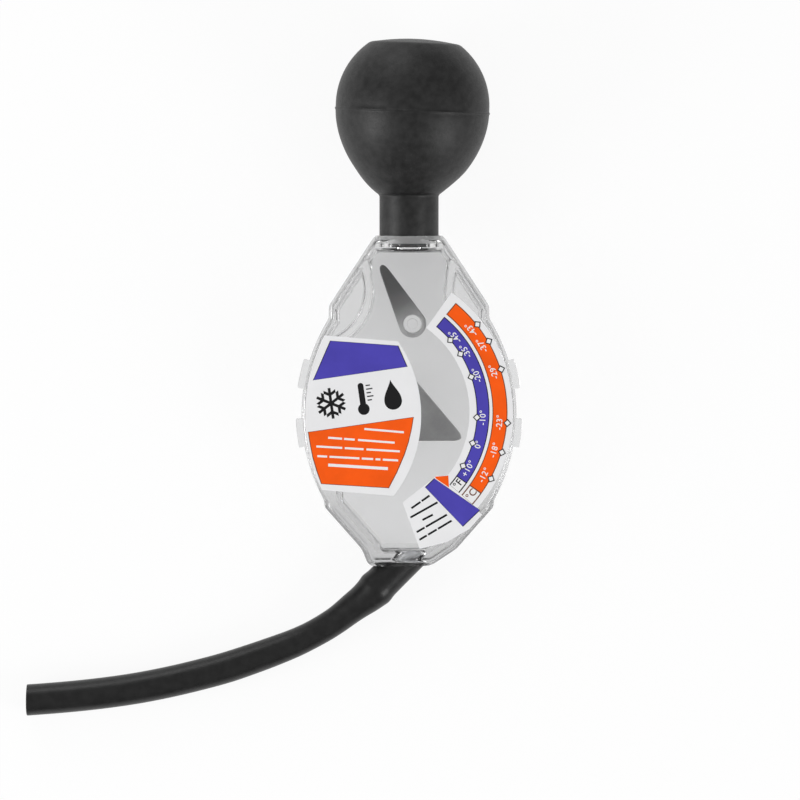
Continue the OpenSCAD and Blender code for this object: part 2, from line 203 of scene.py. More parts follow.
@dataclass(frozen=True)
class Spindle:
    """The axis that a turned shape stands on, in the tester's own frame."""

    foot: Place
    ahead: Place

    def ring(self, radius: float, along: float, count: int = TURNED_SIDES) -> list[Vector]:
        """Draws one ring of points round the axis.

        Args:
            radius: Radius of the ring.
            along: Distance of the ring from the axis's foot.
            count: How many points it has.

        Returns:
            The ring's points.
        """
        axis = Vector(self.ahead).normalized()
        across = axis.orthogonal().normalized()
        up = axis.cross(across)
        centre = Vector(self.foot) + along * axis
        turns = [math.tau * k / count for k in range(count)]
        return [centre + radius * (math.cos(t) * across + math.sin(t) * up) for t in turns]


LENGTHWISE = Spindle((0.0, 0.0, 0.0), (0.0, 1.0, 0.0))


def upright(at: Flat, ahead: float = 1.0) -> Spindle:
    """Gives an axis that stands on the dial at a flat point."""
    return Spindle((*at, 0.0), (0.0, 0.0, ahead))


@dataclass
class Shape:
    """A closed mesh in the making, in the tester's own frame and in millimetres."""

    points: list[Vector] = field(default_factory=list)
    faces: list[tuple[int, ...]] = field(default_factory=list)

    def loft(self, rings: Sequence[Sequence[Vector]], loop: bool = False) -> "Shape":
        """Skins a run of rings that have equal counts.

        Args:
            rings: The rings in order.
            loop: Whether the last ring joins the first, as in a hollow shape. If not, both ends are capped.

        Returns:
            This shape.
        """
        first = len(self.points)
        count = len(rings[0])
        for ring in rings:
            self.points.extend(Vector(p) for p in ring)
        bands = len(rings) if loop else len(rings) - 1
        for band in range(bands):
            near = first + band * count
            far = first + (band + 1) % len(rings) * count
            for k in range(count):
                after = (k + 1) % count
                self.faces.append((near + k, near + after, far + after, far + k))
        if not loop:
            last = first + (len(rings) - 1) * count
            self.faces.append(tuple(range(first + count - 1, first - 1, -1)))
            self.faces.append(tuple(range(last, last + count)))
        return self

    def turned(self, spindle: Spindle, profile: Sequence[Flat], hollow: bool = False,
               count: int = TURNED_SIDES) -> "Shape":
        """Turns a profile of radii and distances round an axis, as a closed loop if it is hollow."""
        return self.loft([spindle.ring(r, y, count) for r, y in profile], loop=hollow)

    def prism(self, corners: Sequence[Flat], low: float, high: float) -> "Shape":
        """Raises a flat outline between two heights."""
        return self.loft([[Vector((x, y, z)) for x, y in corners] for z in (low, high)])

    def slab(self, half: float, ys: Flat, zs: Flat) -> "Shape":
        """Draws a box as far to both sides of the tester's middle, between two ends and two heights."""
        return self.prism([(-half, ys[0]), (half, ys[0]), (half, ys[1]), (-half, ys[1])], *zs)

    def piece(self, name: str) -> bpy.types.Object:
        """Makes a Blender object of the shape, with its seams and poles closed and its faces outwards.

        Args:
            name: Name of the object.

        Returns:
            The object, still in the tester's own millimetres.
        """
        mesh = bpy.data.meshes.new(name)
        mesh.from_pydata([tuple(p) for p in self.points], [], self.faces)
        work = bmesh.new()
        work.from_mesh(mesh)
        bmesh.ops.remove_doubles(work, verts=work.verts, dist=WELD)
        bmesh.ops.delete(work, geom=[e for e in work.edges if not e.link_faces], context="EDGES")
        bmesh.ops.recalc_face_normals(work, faces=work.faces)
        work.to_mesh(mesh)
        work.free()
        return stood(name, mesh)


@dataclass(frozen=True)
class Convex:
    """A convex part of an outline, as the lines and circles that bound it, round the outline's own middle."""

    corners: tuple[Flat, ...] = ()
    circles: tuple[Disc, ...] = ()
    span: Flat | None = None

    def reach(self, way: Vector, gap: float) -> float:
        """Measures how far a ray from the middle stays inside.

        Args:
            way: Direction of the ray.
            gap: How far the part is drawn in.

        Returns:
            The distance, or zero where the ray points out of the part at once.
        """
        limits = []
        count = len(self.corners)
        for k in range(count):
            start = Vector(self.corners[k])
            along = (Vector(self.corners[(k + 1) % count]) - start).normalized()
            inward = Vector((-along.y, along.x))
            closing = way.dot(inward)
            if closing < -PARALLEL:
                limits.append((start.dot(inward) + gap) / closing)
        for centre, radius in self.circles:
            toward = way.dot(Vector(centre))
            depth = toward ** 2 - Vector(centre).length_squared + (radius - gap) ** 2
            limits.append(toward + math.sqrt(max(0.0, depth)))
        if self.span and abs(way.y) > PARALLEL:
            end = self.span[1] - gap if way.y > 0 else self.span[0] + gap
            limits.append(end / way.y)
        return max(0.0, min(limits))


@dataclass(frozen=True)
class Region:
    """An outline seen from its middle: parts added together, kept inside some discs and clear of others."""

    parts: tuple[Convex, ...]
    middle: Flat = (0.0, 0.0)
    inside: tuple[Disc, ...] = ()
    clear_of: tuple[Disc, ...] = ()

    def reach(self, way: Vector, gaps: Sequence[float], extra: float = 0.0) -> float:
        """Measures how far the outline lies from its middle.

        Args:
            way: Direction from the middle.
            gaps: How far each part is drawn in.
            extra: How much further all of it is drawn in.

        Returns:
            The distance.
        """
        far = max(part.reach(way, gap + extra) for part, gap in zip(self.parts, gaps))
        for centre, radius in self.inside:
            far = min(far, Convex(circles=((centre, radius),)).reach(way, extra))
        for centre, radius in self.clear_of:
            toward = way.dot(Vector(centre))
            depth = toward ** 2 - Vector(centre).length_squared + (radius + extra) ** 2
            if toward > 0 and depth > 0:
                far = min(far, toward - math.sqrt(depth))
        return far

    def ring(self, height: float, gaps: Sequence[float], extra: float = 0.0, soft: int = 2,
             count: int = OUTLINE_SIDES) -> list[Vector]:
        """Draws the outline at one height, with its corners a little rounded.

        Args:
            height: Height of the ring.
            gaps: How far each part is drawn in.
            extra: How much further all of it is drawn in.
            soft: How many neighbours on each side round a corner.
            count: How many points it has.

        Returns:
            The ring's points.
        """
        ways = [Vector(polar(360 * k / count)) for k in range(count)]
        reaches = [self.reach(way, gaps, extra) for way in ways]
        near = range(-soft, soft + 1)
        rounded = [sum(reaches[(k + n) % count] for n in near) / len(near) for k in range(count)]
        x, y = self.middle
        return [Vector((x + r * w.x, y + r * w.y, height)) for r, w in zip(rounded, ways)]


def eased_edge(radius: float, steps: int = 4) -> list[Flat]:
    """Gives the draw-in and the drop of each ring of a rounded edge, from its side to its face."""
    turns = [math.pi / 2 * k / steps for k in range(steps + 1)]
    return [(radius * (1 - math.cos(t)), radius * (1 - math.sin(t))) for t in turns]


def plate(region: Region, gaps: Sequence[float], low: float, high: float, edge: float,
          count: int = OUTLINE_SIDES) -> Shape:
    """Raises an outline into a plate with rounded edges.

    Args:
        region: The outline.
        gaps: How far each part of it is drawn in.
        low: Height of its underside.
        high: Height of its upper side.
        edge: Radius of its edges.
        count: How many points the outline has.

    Returns:
        The plate.
    """
    eased = eased_edge(edge)
    rings = [region.ring(low + drop, gaps, extra, count=count) for extra, drop in reversed(eased)]
    rings += [region.ring(high - drop, gaps, extra, count=count) for extra, drop in eased]
    return Shape().loft(rings)


class Bench:
    """Works on Blender objects, most of them while they are still in the tester's own millimetres."""

    EASE_STEPS = 2

    @staticmethod
    def settle_modifier(made: bpy.types.Object) -> None:
        """Replaces an object's mesh by what its modifiers make of it, and removes them.

        Args:
            made: The object.
        """
        bpy.context.view_layer.update()
        seen = made.evaluated_get(bpy.context.evaluated_depsgraph_get())
        mesh = bpy.data.meshes.new_from_object(seen)
        made.modifiers.clear()
        old = made.data
        made.data = mesh
        if old.users == 0:
            bpy.data.meshes.remove(old)

    @staticmethod
    def cut(made: bpy.types.Object, tool: bpy.types.Object, how: Cut) -> None:
        """Joins, carves or trims an object with another.

        Args:
            made: The object that stays.
            tool: The object that it meets, which is used up.
            how: What the tool does.
        """
        boolean = made.modifiers.new("cut", "BOOLEAN")
        boolean.object = tool
        boolean.operation = how.value
        boolean.solver = "MANIFOLD"
        Bench.settle_modifier(made)
        bpy.data.objects.remove(tool)

    @staticmethod
    def ease(made: bpy.types.Object, width: float, angle: float) -> None:
        """Rounds the sharp edges of an object.

        Args:
            made: The object.
            width: Width of the rounding.
            angle: Least angle of an edge that is rounded, in degrees.
        """
        bevel = made.modifiers.new("ease", "BEVEL")
        bevel.width = width
        bevel.segments = Bench.EASE_STEPS
        bevel.angle_limit = math.radians(angle)
        Bench.settle_modifier(made)

    @staticmethod
    def smooth(made: bpy.types.Object, crease: Crease) -> None:
        """Shades an object smoothly up to its creases. A plate's large faces keep their own direction.

        Args:
            made: The object.
            crease: How sharp an edge has to be to stay so.
        """
        made.data.shade_smooth()
        made.data.set_sharp_from_angle(angle=math.radians(crease.value))
        if crease is Crease.PLATE:
            even = made.modifiers.new("even", "WEIGHTED_NORMAL")
            even.keep_sharp = True
            Bench.settle_modifier(made)

    @staticmethod
    def grow(made: bpy.types.Object, tree: bpy.types.NodeTree, **values: object) -> None:
        """Runs a tree of geometry nodes on an object and keeps what it makes as a plain mesh.

        Args:
            made: The object.
            tree: The tree.
            values: Its inputs by name.
        """
        nodes = made.modifiers.new("grow", "NODES")
        nodes.node_group = tree
        sockets = {item.name: item.identifier for item in tree.interface.items_tree}
        for name, value in values.items():
            nodes[sockets[name]] = value
        Bench.settle_modifier(made)

    @staticmethod
    def turn(made: bpy.types.Object, how: Cut, spindle: Spindle, profile: Sequence[Flat],
             hollow: bool = False, count: int = TURNED_SIDES) -> None:
        """Joins or carves an object with a shape that is turned from a profile."""
        Bench.cut(made, Shape().turned(spindle, profile, hollow, count).piece("turned_tool"), how)

    @staticmethod
    def lay_down(made: bpy.types.Object) -> None:
        """Puts an object where the tester lies, in metres, with its place in its mesh."""
        made.data.transform(LYING)
        made.data.update()


def hand_over(made: bpy.types.Object, finishes: Sequence[bpy.types.Material], body: Body, slot: str,
              *nodes: str) -> bpy.types.Object:
    """Gives a piece its finish, hangs it under the body that it moves with and hides the CAD nodes that it
    stands for.

    Args:
        made: The piece, already where it lies.
        finishes: Its materials, in slot order.
        body: The body that it moves with.
        slot: The record's material slot; not used.
        nodes: The CAD nodes that it stands for.

    Returns:
        The piece.
    """
    made.data.materials.clear()
    for finish in finishes:
        made.data.materials.append(finish)
    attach(made, body.value)
    if nodes:
        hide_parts(*nodes)
    log.info("%s rides on %s, %d faces", made.name, body.value, len(made.data.polygons))
    return made


class Desk:
    """Lays out the nodes of one tree and wires them."""

    def __init__(self, tree: bpy.types.NodeTree) -> None:
        """Takes up a tree."""
        self.tree = tree

    def add(self, kind: str, **values: object) -> bpy.types.Node:
        """Adds a node and sets its settings by name, or its inputs where it has no such setting.

        Args:
            kind: The node's type.
            values: Settings or inputs, with underscores for spaces.

        Returns:
            The node.
        """
        node = self.tree.nodes.new(kind)
        settings = {n: v for n, v in values.items() if hasattr(node, n)}
        for name, value in settings.items():
            setattr(node, name, value)
        for name, value in values.items():
            if name not in settings:
                node.inputs[name.replace("_", " ")].default_value = value
        return node

    def wire(self, source: bpy.types.NodeSocket, target: bpy.types.NodeSocket) -> None:
        """Joins two sockets."""
        self.tree.links.new(source, target)


class GeometryDesk(Desk):
    """Lays out a tree of geometry nodes that ends as real geometry with a finish."""

    def __init__(self, name: str, **inputs: str) -> None:
        """Starts a tree with its inputs, one of which is called Finish, and its one output.

        Args:
            name: Name of the tree.
            inputs: Kind of each input, by its name.
        """
        super().__init__(bpy.data.node_groups.new(name, "GeometryNodeTree"))
        for label, kind in inputs.items():
            self.tree.interface.new_socket(label, in_out="INPUT", socket_type="NodeSocket" + kind)
        self.tree.interface.new_socket("Made", in_out="OUTPUT", socket_type="NodeSocketGeometry")
        self.given = self.add("NodeGroupInput")

    def attribute(self, name: str) -> bpy.types.NodeSocket:
        """Reads a number that each point carries."""
        node = self.add("GeometryNodeInputNamedAttribute", data_type="FLOAT", Name=name)
        return node.outputs["Attribute"]

    def close(self, source: bpy.types.NodeSocket) -> bpy.types.NodeTree:
        """Makes the geometry real, gives it the finish and ends the tree.

        Args:
            source: The geometry.

        Returns:
            The tree.
        """
        real = self.add("GeometryNodeRealizeInstances")
        dress = self.add("GeometryNodeSetMaterial")
        made = self.add("NodeGroupOutput")
        self.wire(source, real.inputs["Geometry"])
        self.wire(real.outputs["Geometry"], dress.inputs["Geometry"])
        self.wire(self.given.outputs["Finish"], dress.inputs["Material"])
        self.wire(dress.outputs["Geometry"], made.inputs["Made"])
        return self.tree


def shaded(colour: Colour, share: float) -> Colour:
    """Darkens or lightens a colour by a share."""
    return colour[0] * share, colour[1] * share, colour[2] * share, 1.0


def grey(value: float) -> Colour:
    """Gives a grey as a linear colour."""
    return value, value, value, 1.0


class NodeDesk(Desk):
    """Lays out the nodes of one material."""

    def __init__(self, name: str) -> None:
        """Starts a material with its shader and output.

        Args:
            name: Name of the material.
        """
        self.material = bpy.data.materials.new(name)
        self.material.use_nodes = True
        super().__init__(self.material.node_tree)
        self.shader = self.tree.nodes["Principled BSDF"]
        self.output = self.tree.nodes["Material Output"]

    def set(self, **values: object) -> None:
        """Sets the shader's own sockets by name, with underscores for spaces."""
        for name, value in values.items():
            self.shader.inputs[name.replace("_", " ")].default_value = value

    def noise(self, grain_mm: float, detail: float) -> bpy.types.NodeSocket:
        """Adds a noise whose grains have a real size, on the piece's own coordinates.

        Args:
            grain_mm: Size of a grain in millimetres.
            detail: How many octaves it has.

        Returns:
            The noise's value.
        """
        place = self.add("ShaderNodeTexCoord")
        grains = self.add("ShaderNodeTexNoise", Scale=1.0 / (grain_mm * MM), Detail=detail)
        self.wire(place.outputs["Object"], grains.inputs["Vector"])
        return grains.outputs["Fac"]

    def roughened(self, source: bpy.types.NodeSocket, low: float, high: float) -> None:
        """Feeds the roughness with a noise stretched over a range.

        Args:
            source: The noise.
            low: Roughness at its lower end.
            high: Roughness at its upper end.
        """
        spread = self.add("ShaderNodeMapRange", From_Min=GLOSS_ENDS[0], From_Max=GLOSS_ENDS[1],
                          To_Min=low, To_Max=high)
        self.wire(source, spread.inputs["Value"])
        self.wire(spread.outputs["Result"], self.shader.inputs["Roughness"])

    def tinted(self, source: bpy.types.NodeSocket, colour: Colour, dark: float, light: float) -> None:
        """Feeds the base colour with a noise between a darker and a lighter share of one colour."""
        self.graded(source, list(zip(TONE_ENDS, (shaded(colour, dark), shaded(colour, light)))))

    def graded(self, source: bpy.types.NodeSocket, stops: Sequence[tuple[float, Colour]]) -> None:
        """Feeds the base colour with a value that runs through several tones.

        Args:
            source: The value, from 0 to 1.
            stops: Value and tone of each stop, in order.
        """
        ramp = self.add("ShaderNodeValToRGB")
        ends = ramp.color_ramp.elements
        for end, (place, colour) in zip((ends[0], ends[1]), (stops[0], stops[-1])):
            end.position = place
            end.color = colour
        for place, colour in stops[1:-1]:
            ends.new(place).color = colour
        self.wire(source, ramp.inputs["Fac"])
        self.wire(ramp.outputs["Color"], self.shader.inputs["Base Color"])

    def bumped(self, sources: Iterable[tuple[bpy.types.NodeSocket, float, float]]) -> None:
        """Stacks bumps under the shader.

        Args:
            sources: Height, strength and depth in millimetres of each bump.
        """
        before = None
        for height, strength, depth_mm in sources:
            bump = self.add("ShaderNodeBump", Strength=strength, Distance=depth_mm * MM)
            self.wire(height, bump.inputs["Height"])
            if before:
                self.wire(before.outputs["Normal"], bump.inputs["Normal"])
            before = bump
        self.wire(before.outputs["Normal"], self.shader.inputs["Normal"])

    def moulded(self, roughness: float) -> None:
        """Gives the surface the fine matt grain of a mould.

        Args:
            roughness: Its roughness on the whole.
        """
        grain = self.noise(*MOULD_GRAIN)
        self.roughened(grain, roughness - MOULD_UNEVEN, roughness + MOULD_UNEVEN)
        self.bumped([(grain, *MOULD_BUMP)])

    def mixed(self, share: bpy.types.NodeSocket, other: bpy.types.NodeSocket) -> None:
        """Mixes another shader over the material's own.

        Args:
            share: How much of the other one shows.
            other: The other shader.
        """
        mix = self.add("ShaderNodeMixShader")
        self.wire(share, mix.inputs["Fac"])
        self.wire(self.shader.outputs["BSDF"], mix.inputs[1])
        self.wire(other, mix.inputs[2])
        self.wire(mix.outputs["Shader"], self.output.inputs["Surface"])


@dataclass(frozen=True)
class Rubber:
    """Moulded or extruded black rubber: fine grain, a faint bloom and uneven gloss.

    Noises are given by size in millimetres and octaves, bumps by strength and depth in millimetres.
    """

    name: str
    black: float
    roughness: float
    grain_mm: float
    grain_octaves: float = 3.0
    pore_octaves: float = 2.0
    bloom: Flat = (2.4, 8.0)
    tones: Flat = (0.4, 1.7)
    uneven: Flat = (0.06, 0.08)
    grain_bump: Flat = (0.35, 0.06)
    pore_bump: Flat = (0.25, 0.12)
    gloss: float = 0.4

    def make(self) -> bpy.types.Material:
        """Builds the material.

        Returns:
            The material.
        """
        desk = NodeDesk(self.name)
        grain = desk.noise(self.grain_mm, self.grain_octaves)
        pores = desk.noise(self.grain_mm * 4, self.pore_octaves)
        desk.tinted(desk.noise(*self.bloom), grey(self.black), *self.tones)
        desk.roughened(grain, self.roughness - self.uneven[0], self.roughness + self.uneven[1])
        desk.bumped([(grain, *self.grain_bump), (pores, *self.pore_bump)])
        desk.set(Specular_IOR_Level=self.gloss)
        return desk.material


@dataclass(frozen=True)
class ClearPlastic:
    """Clear moulded plastic that lets the light through, misty or with painted shade that darkens its tint
    along the row.
    """

    name: str
    tint: Colour
    roughness: float
    mist: float = 0.0
    # Row's Y and share of the tint there: painted shade along the row, darker where the share is lower
    shares: tuple[Flat, ...] = ()
    ior: float = 1.46
    cloud: Flat = (14.0, 2.0)
    cloud_tones: Flat = (0.97, 1.03)
    ripple: Flat = (6.0, 2.0)
    ripple_bump: Flat = (0.05, 0.05)
    scuff: Flat = (0.8, 5.0)
    scuff_shares: Flat = (0.6, 1.6)

    def paint_shade_along_row(self, desk: NodeDesk) -> None:
        """Paints shade into the tint along the row's Y.

        Args:
            desk: The material's nodes.
        """
        place = desk.add("ShaderNodeTexCoord")
        axes = desk.add("ShaderNodeSeparateXYZ")
        desk.wire(place.outputs["Object"], axes.inputs["Vector"])
        start, end = self.shares[0][0], self.shares[-1][0]
        rise = desk.add("ShaderNodeMapRange", From_Min=start * MM, From_Max=end * MM)
        desk.wire(axes.outputs["Y"], rise.inputs["Value"])
        stops = [((y - start) / (end - start), shaded(self.tint, share)) for y, share in self.shares]
        desk.graded(rise.outputs["Result"], stops)

    def make(self) -> bpy.types.Material:
        """Builds the material.

        Returns:
            The material.
        """
        desk = NodeDesk(self.name)
        desk.set(Base_Color=self.tint, Transmission_Weight=1.0 - self.mist, IOR=self.ior)
        desk.set(Roughness=self.roughness)
        if self.shares:
            self.paint_shade_along_row(desk)
        elif self.mist:
            desk.tinted(desk.noise(*self.cloud), self.tint, *self.cloud_tones)
        if not self.mist:
            ends = [self.roughness * share for share in self.scuff_shares]
            desk.roughened(desk.noise(*self.scuff), *ends)
            desk.bumped([(desk.noise(*self.ripple), *self.ripple_bump)])
        through = desk.add("ShaderNodeBsdfTransparent", Color=self.tint)
        rays = desk.add("ShaderNodeLightPath")
        desk.mixed(rays.outputs["Is Shadow Ray"], through.outputs["BSDF"])
        return desk.material


@dataclass(frozen=True)
class MouldedPlastic:
    """Opaque moulded plastic with a fine matt grain."""

    name: str
    colour: Colour
    roughness: float
    flow: Flat = (5.0, 5.0)
    tones: Flat = (0.9, 1.1)

    def make(self) -> bpy.types.Material:
        """Builds the material.

        Returns:
            The material.
        """
        desk = NodeDesk(self.name)
        desk.tinted(desk.noise(*self.flow), self.colour, *self.tones)
        desk.moulded(self.roughness)
        return desk.material


@dataclass(frozen=True)
class ReachGreyPlastic:
    """Thin moulded plastic whose grey is given paler at one end, by the piece's own reach attribute."""

    name: str
    stops: tuple[Flat, ...]
    roughness: float

    def make(self) -> bpy.types.Material:
        """Builds the material.

        Returns:
            The material.
        """
        desk = NodeDesk(self.name)
        reach = desk.add("ShaderNodeAttribute", attribute_name="reach")
        desk.graded(reach.outputs["Fac"], [(place, grey(value)) for place, value in self.stops])
        desk.moulded(self.roughness)
        return desk.material


@dataclass(frozen=True)
class TurnedMetal:
    """Turned or ground metal with fine marks."""

    name: str
    colour: Colour
    roughness: float
    stain: Flat = (1.6, 5.0)
    tones: Flat = (0.85, 1.08)
    marks: Flat = (0.12, 2.0)
    uneven: Flat = (0.08, 0.1)
    mark_bump: Flat = (0.2, 0.02)

    def make(self) -> bpy.types.Material:
        """Builds the material.

        Returns:
            The material.
        """
        desk = NodeDesk(self.name)
        marks = desk.noise(*self.marks)
        desk.tinted(desk.noise(*self.stain), self.colour, *self.tones)
        desk.roughened(marks, self.roughness - self.uneven[0], self.roughness + self.uneven[1])
        desk.bumped([(marks, *self.mark_bump)])
        desk.set(Metallic=1.0)
        return desk.material


@dataclass(frozen=True)
class Printed:
    """Printed film: ink or bare white under a thin clear coat that is never quite flat."""

    name: str
    colour: Colour
    spread: float = 0.06
    roughness: float = 0.38
    uneven: Flat = (0.06, 0.08)
    gloss: float = 0.12
    cloud: Flat = (7.0, 5.0)
    cloud_bump: Flat = (0.05, 0.08)
    dots: Flat = (0.18, 2.0)
    dot_bump: Flat = (0.08, 0.01)

    def make(self) -> bpy.types.Material:
        """Builds the material.

        Returns:
            The material.
        """
        desk = NodeDesk(self.name)
        cloud = desk.noise(*self.cloud)
        dots = desk.noise(*self.dots)
        desk.tinted(cloud, self.colour, 1 - self.spread, 1 + self.spread)
        desk.roughened(dots, self.roughness - self.uneven[0], self.roughness + self.uneven[1])
        desk.bumped([(cloud, *self.cloud_bump), (dots, *self.dot_bump)])
        desk.set(Specular_IOR_Level=self.gloss)
        return desk.material


@dataclass(frozen=True)
class Paper:
    """The pale sweep that the tester lies on: white to the eye, with the tester's own shadow kept."""

    name: str = "sweep_paper"
    white: float = 0.95
    roughness: float = 0.9
    gloss: float = 0.1
    fibre: Flat = (1.2, 4.0)
    tones: Flat = (0.99, 1.01)
    glow: float = 0.9

    def make(self) -> bpy.types.Material:
        """Builds the material.

        Returns:
            The material.
        """
        desk = NodeDesk(self.name)
        desk.tinted(desk.noise(*self.fibre), grey(self.white), *self.tones)
        desk.set(Roughness=self.roughness, Specular_IOR_Level=self.gloss)
        rays = desk.add("ShaderNodeLightPath")
        seen = rays.outputs["Is Camera Ray"]
        for ray in ("Is Glossy Ray", "Is Transmission Ray"):
            either = desk.add("ShaderNodeMath", operation="MAXIMUM")
            desk.wire(seen, either.inputs[0])
            desk.wire(rays.outputs[ray], either.inputs[1])
            seen = either.outputs["Value"]
        share = desk.add("ShaderNodeMath", operation="MULTIPLY")
        share.inputs[1].default_value = self.glow
        desk.wire(seen, share.inputs[0])
        light = desk.add("ShaderNodeEmission", Strength=1.0)
        desk.mixed(share.outputs["Value"], light.outputs["Emission"])
        return desk.material


@dataclass
class Studio:
    """The camera at the photograph's angle, the soft lights and the sweep."""

    aim: Flat = (-2.7, -29.15)
    subject_height: float = 14.0
    frame_width: float = 240.0
    distance: float = 1450.0
    pitch: float = 2.2
    sensor: float = 36.0
    far_clip: float = 50.0
    sweep: float = 6.0
    horizon: Flat = (0.08, 0.45)
    sky: Flat = (0.05, 0.54)
    lamps: tuple[tuple[str, Place, float, float], ...] = (
        ("left_softbox", (-1.0, -0.32, 0.5), 0.5, 6.5),
        ("right_softbox", (0.88, -0.55, 0.55), 0.5, 5.2),
        ("back_softbox", (-0.35, 1.0, 0.4), 0.6, 2.8))

    def camera(self) -> None:
        """Puts the camera above the tester, pitched a little towards its face as the photograph is."""
        lens = bpy.data.cameras.new("photo_camera")
        lens.sensor_width = self.sensor
        lens.lens = self.sensor * self.distance / self.frame_width
        lens.clip_end = self.far_clip
        stand = stood("photo_camera", lens)
        high, back = polar(self.pitch, self.distance)
        place = (self.aim[0], self.aim[1] - back, self.subject_height + high)
        stand.location = [measure * MM for measure in place]
        stand.rotation_euler = (math.radians(self.pitch), 0.0, 0.0)
        bpy.context.scene.camera = stand

    @staticmethod
    def lamp(name: str, place: Place, size: float, power: float) -> None:
        """Hangs one soft lamp that faces the tester.

        Args:
            name: Name of the lamp.
            place: Where it hangs, in metres.
            size: Side of its square, in metres.
            power: Its power in watts.
        """
        data = bpy.data.lights.new(name, "AREA")
        data.size = size
        data.energy = power
        stand = stood(name, data)
        stand.location = place
        stand.rotation_euler = (-Vector(place)).to_track_quat("-Z", "Y").to_euler()

    def light(self) -> None:
        """Sets a soft sky that is darker towards the horizon, and the soft lamps."""
        world = bpy.data.worlds.new("studio_sky")
        world.use_nodes = True
        sky = world.node_tree.nodes["Background"]
        sky.inputs["Color"].default_value = grey(1.0)
        desk = Desk(world.node_tree)
        way = desk.add("ShaderNodeTexCoord")
        split = desk.add("ShaderNodeSeparateXYZ")
        rise = desk.add("ShaderNodeMapRange", From_Min=self.horizon[0], From_Max=self.horizon[1],
                        To_Min=self.sky[0], To_Max=self.sky[1])
        desk.wire(way.outputs["Generated"], split.inputs["Vector"])
        desk.wire(split.outputs["Z"], rise.inputs["Value"])
        desk.wire(rise.outputs["Result"], sky.inputs["Strength"])
        bpy.context.scene.world = world
        for lamp in self.lamps:
            self.lamp(*lamp)
        bpy.context.scene.view_settings.view_transform = "Standard"

    def floor(self) -> None:
        """Lays the sweep under the tester."""
        mesh = bpy.data.meshes.new("sweep")
        half = self.sweep / 2
        corners = [(-half, -half, 0), (half, -half, 0), (half, half, 0), (-half, half, 0)]
        mesh.from_pydata(corners, [], [(0, 1, 2, 3)])
        mesh.materials.append(Paper().make())
        ground = stood("sweep", mesh)


